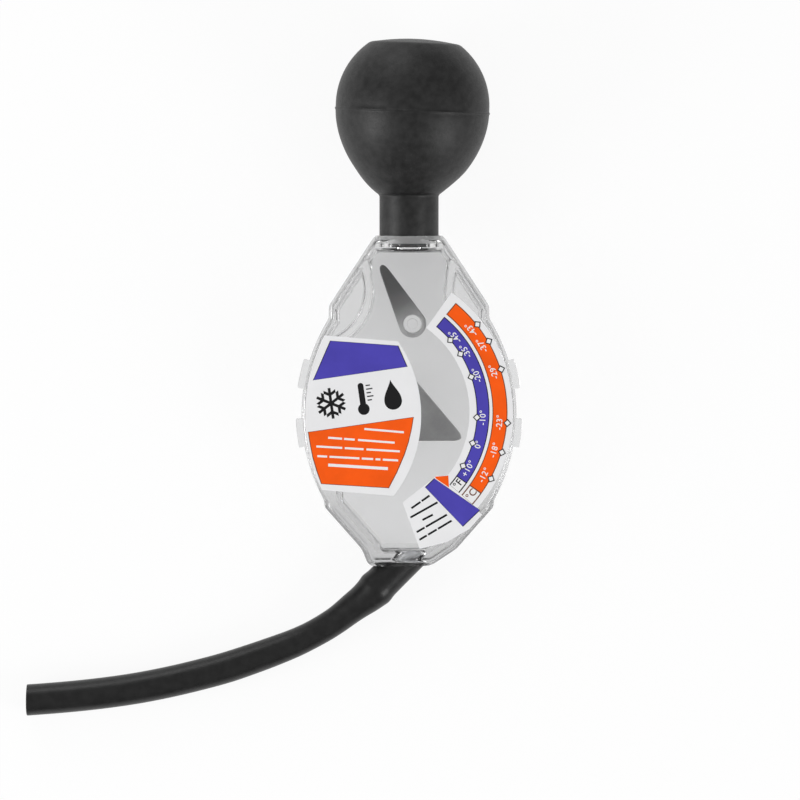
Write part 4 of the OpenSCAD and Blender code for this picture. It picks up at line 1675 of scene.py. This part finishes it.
@dataclass
class DialPrint:
    """What is printed on the two labels: bands, numbers, diamonds, panels, pictograms and rules."""

    film_top: float = 10.4
    layer: float = 0.02
    violet_band: Flat = (33.15, 36.5)
    orange_band: Flat = (37.9, 41.85)
    line: float = 0.25
    band_top: float = 50.3
    band_foot: float = -35.0
    box_foot: float = -41.0
    violet_marks: tuple[tuple[str, float], ...] = (
        ("-45\u00b0", 40.6), ("-35\u00b0", 31.7), ("-20\u00b0", 18.6),
        ("-10\u00b0", -2.7), ("0\u00b0", -16.2), ("+10\u00b0", -29.0))
    orange_marks: tuple[tuple[str, float], ...] = (
        ("-43\u00b0", 38.3), ("-37\u00b0", 30.1), ("-29\u00b0", 17.7),
        ("-23\u00b0", -4.4), ("-18\u00b0", -16.5), ("-12\u00b0", -28.1))
    number_size: float = 2.5
    unit_size: float = 3.0
    letter_weight: float = 0.01
    letter_gap: float = 1.06
    letter_steps: int = 4
    box_line: float = 0.1
    box_gap: float = 0.5
    band_end: float = 0.4
    diamond: float = 0.82
    diamond_line: float = 0.4
    violet_panel: tuple[Flat, ...] = ((-23.3, 22.2), (-28.4, 10.6), (-0.7, 14.6), (-3.4, 20.75))
    orange_panel: tuple[Flat, ...] = (
        (-29.9, -5.0), (-29.3, -8.6), (-28.55, -12.4), (-27.4, -16.35), (-26.0, -20.3), (-6.15, -21.5),
        (-3.77, -16.9), (-1.54, -11.7), (-0.35, -8.1), (0.6, -4.16), (1.2, -0.56))
    violet_bar: tuple[Flat, ...] = ((7.6, -18.9), (4.95, -21.5), (15.97, -33.0), (21.0, -28.2))
    orange_corner: tuple[Flat, ...] = ((7.8, -18.25), (7.95, -18.8), (11.9, -21.5), (11.7, -17.95))
    white_rule: tuple[Flat, Flat] = ((-24.1, -14.75), (-6.3, -15.85))
    panel_rows: tuple[Row, ...] = (
        ((-13.3, -4.0), (-1.55, -5.0), ((0.0, 1.0),)),
        ((-24.1, -6.6), (-4.3, -8.1), ((0.0, 0.21), (0.24, 0.4), (0.45, 1.0))),
        ((-27.6, -9.2), (-2.75, -10.7), ((0.0, 0.31), (0.34, 0.565), (0.6, 1.0))),
        ((-27.3, -12.1), (-3.25, -13.4),
         ((0.0, 0.12), (0.15, 0.52), (0.55, 0.69), (0.72, 0.78), (0.81, 1.0))))
    tab_rows: tuple[Row, ...] = (
        ((0.7, -27.7), (6.1, -23.9), ((0.0, 0.5), (0.57, 1.0))),
        ((-0.2, -30.8), (8.5, -25.9), ((0.07, 1.0),)),
        ((4.0, -31.2), (7.1, -29.6), ((0.0, 1.0),)),
        ((1.8, -35.1), (11.3, -29.6), ((0.05, 0.3), (0.34, 1.0))),
        ((2.8, -37.3), (12.7, -31.4), ((0.03, 0.25), (0.29, 0.55), (0.59, 1.0))))
    row_height: float = 0.6
    rule_height: float = 0.87
    sign_slope: float = 8.1
    sign_middle: Flat = (-14.3, 4.9)
    # Size of each sign, and where its middle lies on the row
    snowflake_at: Flat = (4.6, -9.0)
    thermometer_at: Flat = (4.8, 0.4)
    droplet_at: Flat = (4.5, 9.4)
    ticks: int = 5
    tick_start: float = 1.5
    tick_ends: Flat = (2.8, 3.4)
    tick_low: float = -0.6
    tick_pitch: float = 1.1
    tick_half: float = 0.18
    # How far the diamonds stand inside the violet band and outside the orange one
    diamond_gaps: Flat = (0.1, 0.35)
    sheets: dict[Ink, Shape] = field(default_factory=lambda: {ink: Shape() for ink in Ink})

    def height(self, level: int) -> Flat:
        """Gives the underside and the upper side of one layer of ink."""
        return self.film_top + (level - 1) * self.layer, self.film_top + level * self.layer

    def lay(self, ink: Ink, level: int, corners: Sequence[Flat]) -> None:
        """Prints one closed outline on a layer that is counted up from the film."""
        self.sheets[ink].prism(corners, *self.height(level))

    def about_pivot(self, corners: Iterable[Flat], turn: float = 0.0) -> list[Flat]:
        """Places points that are drawn round the pointer's pivot, turned by some degrees."""
        c, s = polar(turn)
        return [(PIVOT[0] + x * c - y * s, PIVOT[1] + x * s + y * c) for x, y in corners]

    def sector(self, inner: float, outer: float, start: float, end: float) -> list[Flat]:
        """Draws a sector of a ring round the pivot, between two radii and two angles in degrees."""
        steps = max(3, round(abs(end - start)))
        return self.about_pivot(arc((0, 0), outer, start, end, steps) + arc((0, 0), inner, end, start, steps))

    def lettering(self, ink: Ink, level: int, words: str, size: float, place: Matrix) -> None:
        """Prints a number of the scale or a unit.

        Args:
            ink: Its ink.
            level: Its layer, counted up from the film.
            words: The number or unit.
            size: Size of the letters.
            place: Where its middle lies and how it is turned, in the tester's own frame.
        """
        curve = bpy.data.curves.new("number", "FONT")
        curve.body = words
        curve.size = size
        curve.align_x = "CENTER"
        curve.align_y = "CENTER"
        curve.extrude = self.layer / 2
        curve.offset = self.letter_weight * size
        curve.space_character = self.letter_gap
        curve.resolution_u = self.letter_steps
        stand = stood("number", curve)
        bpy.context.view_layer.update()
        mesh = bpy.data.meshes.new_from_object(stand.evaluated_get(bpy.context.evaluated_depsgraph_get()))
        low, high = self.height(level)
        lifted = Matrix.Translation((0, 0, (low + high) / 2)) @ place
        sheet = self.sheets[ink]
        first = len(sheet.points)
        sheet.points.extend(lifted @ v.co for v in mesh.vertices)
        sheet.faces.extend(tuple(first + k for k in face.vertices) for face in mesh.polygons)
        bpy.data.objects.remove(stand)
        bpy.data.curves.remove(curve)
        bpy.data.meshes.remove(mesh)

    def on_arc(self, radius: float, angle: float) -> Matrix:
        """Stands a number on an arc round the pivot, reading upwards with its top towards the pivot.

        Args:
            radius: Radius of the arc.
            angle: Angle of the number, in degrees.

        Returns:
            Its place in the tester's own frame.
        """
        x, y = polar(angle, radius)
        turned = Matrix.Rotation(math.radians(angle + 90), 4, "Z")
        return Matrix.Translation((PIVOT[0] + x, PIVOT[1] + y, 0)) @ turned

    def bands(self) -> None:
        """Prints the two curved bands with their outlines, numbers and unit boxes."""
        for ink, rim, band, marks, unit in (
                (Ink.VIOLET, Ink.BLACK, self.violet_band, self.violet_marks, "\u00b0F"),
                (Ink.ORANGE, Ink.BROWN, self.orange_band, self.orange_marks, "\u00b0C")):
            inner, outer = band
            line, inset = self.line, self.box_line
            top = self.band_top + self.band_end
            self.lay(rim, 1, self.sector(inner - line, outer + line, self.box_foot, top))
            self.lay(ink, 2, self.sector(inner, outer, self.band_foot, self.band_top))
            box = (self.box_foot + inset, self.band_foot - self.box_gap)
            self.lay(Ink.WHITE, 2, self.sector(inner + inset, outer - inset, *box))
            middle = (inner + outer) / 2
            for words, angle in marks:
                self.lettering(Ink.WHITE, 3, words, self.number_size, self.on_arc(middle, angle))
            place = self.on_arc(middle, (self.band_foot + self.box_foot) / 2)
            self.lettering(rim, 3, unit, self.unit_size, place)

    @staticmethod
    def grown(corners: Sequence[Flat], by: float) -> list[Flat]:
        """Moves every corner of an outline away from its middle."""
        middle = sum((Vector(p) for p in corners), Vector((0.0, 0.0))) / len(corners)
        return [tuple(Vector(p) + by * (Vector(p) - middle).normalized()) for p in corners]

    def area(self, ink: Ink, rim: Ink, corners: Sequence[Flat]) -> None:
        """Prints an area of one ink with a fine line round it."""
        self.lay(rim, 1, self.grown(corners, self.line))
        self.lay(ink, 2, corners)

    def words(self, ink: Ink, level: int, row: Row, height: float) -> None:
        """Prints a row of plain bars in place of a line of text.

        Args:
            ink: Their ink.
            level: Their layer, counted up from the film.
            row: The row's two ends and the shares of it that its bars take.
            height: Height of the bars.
        """
        start, end = Vector(row[0]), Vector(row[1])
        along = end - start
        up = Vector((-along.y, along.x)).normalized() * height / 2
        for near, far in row[2]:
            low, high = start + near * along, start + far * along
            self.lay(ink, level, [tuple(low - up), tuple(high - up), tuple(high + up), tuple(low + up)])

    def tab(self) -> None:
        """Prints the violet bar, the small orange corner and the plain rows of the tab below the scale."""
        self.area(Ink.VIOLET, Ink.BLACK, self.violet_bar)
        self.lay(Ink.ORANGE, 1, self.orange_corner)
        for row in self.tab_rows:
            self.words(Ink.BLACK, 1, row, self.row_height)

    def panels(self) -> None:
        """Prints the name label's violet and orange panels, its white rule and its plain white rows."""
        self.area(Ink.VIOLET, Ink.BLACK, self.violet_panel)
        self.area(Ink.ORANGE, Ink.BROWN, self.orange_panel)
        self.words(Ink.WHITE, 3, (*self.white_rule, ((0.0, 1.0),)), self.rule_height)
        for row in self.panel_rows:
            self.words(Ink.WHITE, 3, row, self.row_height)

    def snowflake(self, size: float) -> list[Flat]:
        """Draws a six-armed snowflake with a barb on each side of every arm.

        Args:
            size: Length of an arm.

        Returns:
            The outline round its own middle.
        """
        half = 0.09 * size
        barb = 0.34 * size
        foot = 0.5 * size
        tall = 2 * half / math.sin(math.radians(60))
        out, rise = barb * 0.5, barb * 0.866
        side = [(2 * half * math.cos(math.radians(30)), -half), (foot, -half), (foot + out, -half - rise),
                (foot + out + tall, -half - rise), (foot + tall, -half), (size, -half)]
        arm = side + [(x, -y) for x, y in reversed(side)]
        points = []
        for k in range(6):
            c, s = polar(60 * k + 30)
            points += [(x * c - y * s, x * s + y * c) for x, y in arm[1:]]
        return points

    def thermometer(self, size: float) -> list[Flat]:
        """Draws a thermometer: a round bulb and a round-topped stem.

        Args:
            size: Half of its height.

        Returns:
            The outline round its own middle.
        """
        bulb, stem = 0.36 * size, 0.18 * size
        meet = math.degrees(math.asin(stem / bulb))
        low = -size + bulb
        return arc((0, low), bulb, 90 + meet, 450 - meet, 28) + arc((0, size - stem), stem, 0, 180, 10)

    def droplet(self, size: float) -> list[Flat]:
        """Draws a droplet: a round foot drawn up to a point.

        Args:
            size: Half of its height.

        Returns:
            The outline round its own middle.
        """
        belly = 0.58 * size
        low = -size + belly
        side = bezier((belly, low), (belly, low + 0.55 * size), (0.12 * size, 0.55 * size), (0.0, size), 12)
        return arc((0, low), belly, 180, 360, 24) + side[1:] + [(-x, y) for x, y in reversed(side[1:-1])]

    def sign(self, corners: Iterable[Flat], along: float) -> None:
        """Prints one plain sign on the sloping row between the two panels.

        Args:
            corners: Its outline round its own middle.
            along: Where its middle lies on the row.
        """
        c, s = polar(self.sign_slope)
        x0, y0 = self.sign_middle
        placed = [(x0 + (x + along) * c - y * s, y0 + (x + along) * s + y * c) for x, y in corners]
        self.lay(Ink.BLACK, 1, placed)

    def pictograms(self) -> None:
        """Prints the row of plain pictograms between the two panels, with a short graduated rule."""
        for draw, (size, along) in ((self.snowflake, self.snowflake_at),
                                    (self.thermometer, self.thermometer_at),
                                    (self.droplet, self.droplet_at)):
            self.sign(draw(size), along)
        for k in range(self.ticks):
            start, end = self.tick_start, self.tick_ends[k % 2]
            level = self.tick_low + self.tick_pitch * k
            low, high = level - self.tick_half, level + self.tick_half
            tick = [(start, low), (end, low), (end, high), (start, high)]
            self.sign(tick, self.thermometer_at[1])

    @staticmethod
    def mark_tree() -> bpy.types.NodeTree:
        """Builds the nodes that stand a flat diamond on every mark of the scale.

        Returns:
            The node tree, with the diamond's reach, depth and finish as inputs.
        """
        desk = GeometryDesk("scale_diamonds", Marks="Geometry", Reach="Float", Depth="Float",
                            Finish="Material")
        diamond = desk.add("GeometryNodeMeshCylinder", Vertices=4)
        spin = desk.add("ShaderNodeCombineXYZ")
        facing = desk.add("FunctionNodeEulerToRotation")
        stand = desk.add("GeometryNodeInstanceOnPoints")
        desk.wire(desk.given.outputs["Reach"], diamond.inputs["Radius"])
        desk.wire(desk.given.outputs["Depth"], diamond.inputs["Depth"])
        desk.wire(desk.attribute("turn"), spin.inputs["Z"])
        desk.wire(spin.outputs["Vector"], facing.inputs["Euler"])
        desk.wire(desk.given.outputs["Marks"], stand.inputs["Points"])
        desk.wire(diamond.outputs["Mesh"], stand.inputs["Instance"])
        desk.wire(facing.outputs["Rotation"], stand.inputs["Rotation"])
        return desk.close(stand.outputs["Instances"])

    def diamonds(self, name: str, reach: float, level: int, ink: bpy.types.Material,
                 tree: bpy.types.NodeTree) -> None:
        """Stands one flat diamond on each mark of the two bands.

        Args:
            name: Name of the piece.
            reach: Half of a diamond's diagonal.
            level: Its layer, counted up from the film.
            ink: Its finish.
            tree: The nodes that stand them.
        """
        inside, outside = self.diamond_gaps
        marks = [(self.violet_band[0] - inside, angle) for _, angle in self.violet_marks]
        marks += [(self.orange_band[1] + outside, angle) for _, angle in self.orange_marks]
        low, high = self.height(level)
        places = self.about_pivot([polar(angle, radius) for radius, angle in marks])
        mesh = bpy.data.meshes.new(name)
        mesh.from_pydata([(x, y, (low + high) / 2) for x, y in places], [], [])
        turn = mesh.attributes.new("turn", "FLOAT", "POINT")
        turn.data.foreach_set("value", [math.radians(angle) for _, angle in marks])
        made = stood(name, mesh)
        Bench.grow(made, tree, Reach=reach, Depth=high - low, Finish=ink)
        Bench.lay_down(made)
        hand_over(made, [ink], Body.HOUSING, "label_film")

    def build(self, inks: dict[Ink, bpy.types.Material]) -> None:
        """Makes every printed area.

        Args:
            inks: The finish of each ink.
        """
        self.bands()
        self.tab()
        self.panels()
        self.pictograms()
        for ink, shape in self.sheets.items():
            made = shape.piece("print_" + ink.value)
            Bench.lay_down(made)
            hand_over(made, [inks[ink]], Body.HOUSING, "label_film")
        tree = self.mark_tree()
        self.diamonds("print_diamond_rims", self.diamond + self.diamond_line, 4, inks[Ink.BLACK], tree)
        self.diamonds("print_diamonds", self.diamond, 5, inks[Ink.WHITE], tree)


def chamfered(radius: float, half: float, edge: float, flare: float) -> list[Flat]:
    """Draws a rod's or a bore's profile with chamfered ends, wider by a flare, or narrower below zero."""
    ends = [(radius + flare, -half), (radius, -half + edge)]
    return ends + [(radius, half - edge), (radius + flare, half)]


@dataclass
class PointerWorks:
    """The pointer with its balance weight, its axle, and the level vane."""

    pointer_len: float = 29.4
    thickness: float = 4.0
    float_r: float = 9.1
    sail_h: float = 22.1
    sail_x: float = 11.4
    tip_r: float = 0.8
    hub_r: float = 3.4
    hub_len: float = 7.4
    hub_edge: float = 0.4
    bore_r: float = 1.06
    bore_edge: float = 0.3
    bore_over: float = 0.01
    axle_r: float = 1.0
    axle_half: float = 9.3
    axle_edge: float = 0.3
    weight_x: float = 6.25
    weight_r: float = 2.45
    weight_gap: float = 0.02
    weight_edge: float = 0.25
    # Radius and depth of each ring of the turned dimple
    dimple: tuple[Flat, ...] = ((0.0, 0.35), (0.45, 0.05), (0.6, 0.0))
    weight_sides: int = 72
    sail_edge: float = 0.45
    vane_edge: float = 0.35
    vane_len: float = 18.6
    vane_lean: float = 28.0
    vane_r: float = 4.1
    vane_tip_r: float = 1.2
    vane_bore: float = 2.81
    vane_bore_edge: float = 0.25

    def pointer(self, plastic: bpy.types.Material) -> None:
        """Makes the pointer: a round end on its hub and a sail that runs out to the tip.

        Args:
            plastic: Its finish.
        """
        tip_x = math.sqrt(self.pointer_len ** 2 - (self.float_r - self.tip_r) ** 2)
        base = -self.float_r
        sail = ((0.0, base), (tip_x, base), (tip_x + self.tip_r / 2, 2 * self.tip_r + base),
                (self.sail_x, self.sail_h + base), (0.0, self.float_r))
        disc = Convex(circles=(((0.0, 0.0), self.float_r),))
        region = Region((disc, Convex(corners=sail)), middle=PIVOT)
        half = self.thickness / 2
        made = plate(region, (0.0, 0.0), -half, half, self.sail_edge, PLATE_SIDES).piece("pointer_sail")
        reach = self.hub_len / 2
        hub = chamfered(self.hub_r, reach, self.hub_edge, -self.hub_edge)
        Bench.turn(made, Cut.JOIN, upright(PIVOT), hub, count=SMALL_SIDES)
        over = self.bore_over
        bore = chamfered(self.bore_r, reach + over, self.bore_edge + over, self.bore_edge)
        Bench.turn(made, Cut.CARVE, upright(PIVOT), bore, count=FINE_SIDES)
        hole = [(self.weight_r + self.weight_gap, z) for z in (-half - 1, half + 1)]
        Bench.turn(made, Cut.CARVE, self.weight_axis(), hole, count=FINE_SIDES)
        Bench.smooth(made, Crease.PLATE)
        Bench.lay_down(made)
        hand_over(made, [plastic], Body.POINTER, "pointer_plastic", "pointer_float")

    def weight_axis(self) -> Spindle:
        """Gives the axis of the slug's seat."""
        return upright((PIVOT[0] - self.weight_x, PIVOT[1]))

    def weight(self, brass: bpy.types.Material) -> None:
        """Makes the brass slug in the pointer's round end, with a turned dimple in each face.

        Args:
            brass: Its finish.
        """
        half = self.thickness / 2
        r, edge = self.weight_r, self.weight_edge
        face = [*((x, half - depth) for x, depth in self.dimple), (r - edge, half), (r, half - edge)]
        profile = [(x, -z) for x, z in face] + [(x, z) for x, z in reversed(face)]
        made = Shape().turned(self.weight_axis(), profile, count=self.weight_sides).piece("weight_slug")
        Bench.smooth(made, Crease.TURNED)
        Bench.lay_down(made)
        hand_over(made, [brass], Body.POINTER, "weight_brass", "balance_weight")

    def axle(self, steel: bpy.types.Material) -> None:
        """Makes the steel pin with chamfered ends.

        Args:
            steel: Its finish.
        """
        profile = chamfered(self.axle_r, self.axle_half, self.axle_edge, -self.axle_edge)
        made = Shape().turned(upright(PIVOT), profile, count=FINE_SIDES).piece("axle_pin")
        Bench.smooth(made, Crease.TURNED)
        Bench.lay_down(made)
        hand_over(made, [steel], Body.HOUSING, "axle_steel", "pointer_axle")

    def vane(self, plastic: bpy.types.Material) -> None:
        """Makes the level vane: a ring on its post and a tapered blade.

        Args:
            plastic: Its finish.
        """
        taper = math.degrees(math.asin((self.vane_r - self.vane_tip_r) / self.vane_len))
        up = 90 + self.vane_lean
        tip = polar(up, self.vane_len)
        hull = arc((0.0, 0.0), self.vane_r, up + 90 - taper, up + 270 + taper, 40)
        hull += arc(tip, self.vane_tip_r, up - 90 + taper, up + 90 - taper, 16)
        region = Region((Convex(corners=tuple(hull)),), middle=VANE_AT)
        made = plate(region, (0.0,), *VANE_SPAN, self.vane_edge, PLATE_SIDES).piece("vane_blade")
        half, middle = (VANE_SPAN[1] - VANE_SPAN[0]) / 2, sum(VANE_SPAN) / 2
        edge = self.vane_bore_edge
        bore = [(r, middle + z) for r, z in chamfered(self.vane_bore, half + self.bore_over, edge, edge)]
        Bench.turn(made, Cut.CARVE, upright(VANE_AT), bore, count=SMALL_SIDES)
        Bench.smooth(made, Crease.PLATE)
        hub, way = Vector((*VANE_AT, 0.0)), Vector((*polar(up, 1 / self.vane_len), 0.0))
        reach = made.data.attributes.new("reach", "FLOAT", "POINT")
        reach.data.foreach_set("value", [max(0.0, (v.co - hub).dot(way)) for v in made.data.vertices])
        Bench.lay_down(made)
        hand_over(made, [plastic], Body.VANE, "vane_plastic", "level_vane")

    def build(self, finishes: dict[str, bpy.types.Material]) -> None:
        """Makes the pointer, the weight, the axle and the vane.

        Args:
            finishes: Their finishes by slot.
        """
        self.pointer(finishes["pointer_plastic"])
        self.weight(finishes["weight_brass"])
        self.axle(finishes["axle_steel"])
        self.vane(finishes["vane_plastic"])


@dataclass
class HoseNipple:
    """The barbed tube bonded between the shells, which the hose is pushed over."""

    radius: float = 3.3
    bore: float = 2.0
    edge: float = 0.4
    mouth: float = 0.3
    floor_y: float = -41.1
    floor_box: Flat = (40.0, 20.0)
    barb: float = 0.3
    barb_pitch: float = 4.0
    barb_step: float = 0.05

    def build(self, axis: Spindle, plastic: bpy.types.Material) -> bpy.types.Object:
        """Makes the nipple, trimmed flush with the chamber's floor.

        Args:
            axis: Axis of the nipple's bore.
            plastic: Its finish.

        Returns:
            The nipple.
        """
        r, (start, end) = self.radius, NIPPLE_SPAN
        outer = [(r, start)]
        for k in (2, 1):
            foot = end - k * self.barb_pitch
            outer += [(r, foot), (r + self.barb, foot + self.barb_step), (r, foot + self.barb_pitch / 2)]
        outer += [(r, end - self.edge), (r - self.edge, end)]
        inner = [(self.bore + self.mouth, end), (self.bore, end - self.mouth), (self.bore, start)]
        made = Shape().turned(axis, outer + inner, hollow=True, count=SMALL_SIDES).piece("nipple")
        half, deep = self.floor_box
        inside = Shape().slab(half, (self.floor_y, 0.0), (-deep, deep)).piece("inside")
        Bench.cut(made, inside, Cut.CARVE)
        Bench.smooth(made, Crease.TURNED)
        Bench.lay_down(made)
        return hand_over(made, [plastic], Body.HOUSING, "nipple_plastic", "hose_nipple")


def dress_film(film: bpy.types.Material) -> None:
    """Gives the two label films, which keep their CAD shape, their white finish.

    Args:
        film: The finish.
    """
    for name in ("name_label", "scale_label"):
        label = frame["nodes"][name]
        label.data.materials.clear()
        label.data.materials.append(film)
        log.info("%s keeps its shape, with the film's finish", name)


def main() -> None:
    """Builds the studio and every piece of the tester in order."""
    logging.basicConfig(level=logging.INFO, format="%(message)s")
    studio = Studio()
    studio.camera()
    studio.light()
    studio.floor()
    chamber = FloatChamber()
    SqueezeBulb().build(Rubber("bulb_rubber", black=0.009, roughness=0.48, grain_mm=0.4).make())
    clear = ClearPlastic("clear_plastic", (0.84, 0.841, 0.843, 1.0), roughness=0.04)
    misty = ClearPlastic("misty_plastic", (0.86, 0.861, 0.863, 1.0), roughness=0.4, mist=0.3,
                         shares=MISTY_PAINTED_SHADE)
    dull = ClearPlastic("dull_plastic", (0.9, 0.901, 0.903, 1.0), roughness=0.1, shares=DULL_PAINTED_SHADE)
    chamber.build(clear.make(), misty.make(), dull.make())
    cloudy = ClearPlastic("nipple_plastic", (0.8, 0.81, 0.82, 1.0), roughness=0.2, mist=0.3)
    nipple = HoseNipple().build(chamber.nipple_axis(), cloudy.make())
    SuctionHose().build(Rubber("hose_rubber", black=0.004, roughness=0.36, grain_mm=0.3).make(), nipple)
    PointerWorks().build({
        "pointer_plastic": MouldedPlastic("pointer_plastic", grey(0.42), roughness=0.5).make(),
        "vane_plastic": ReachGreyPlastic("vane_plastic", VANE_GREYS, roughness=0.45).make(),
        "axle_steel": TurnedMetal("axle_steel", (0.55, 0.55, 0.56, 1.0), roughness=0.28).make(),
        "weight_brass": TurnedMetal("weight_brass", (0.6, 0.44, 0.17, 1.0), roughness=0.32).make()})
    dress_film(Printed("label_film", (0.84, 0.84, 0.85, 1.0), spread=0.015).make())
    DialPrint().build({
        Ink.VIOLET: Printed("violet_ink", (0.075, 0.061, 0.42, 1.0)).make(),
        Ink.ORANGE: Printed("orange_ink", (0.95, 0.108, 0.006, 1.0)).make(),
        Ink.BLACK: Printed("black_ink", (0.012, 0.012, 0.013, 1.0)).make(),
        Ink.BROWN: Printed("brown_ink", (0.16, 0.05, 0.02, 1.0)).make(),
        Ink.WHITE: Printed("white_ink", grey(0.85), spread=0.015).make()})


if __name__ == "__main__":
    main()
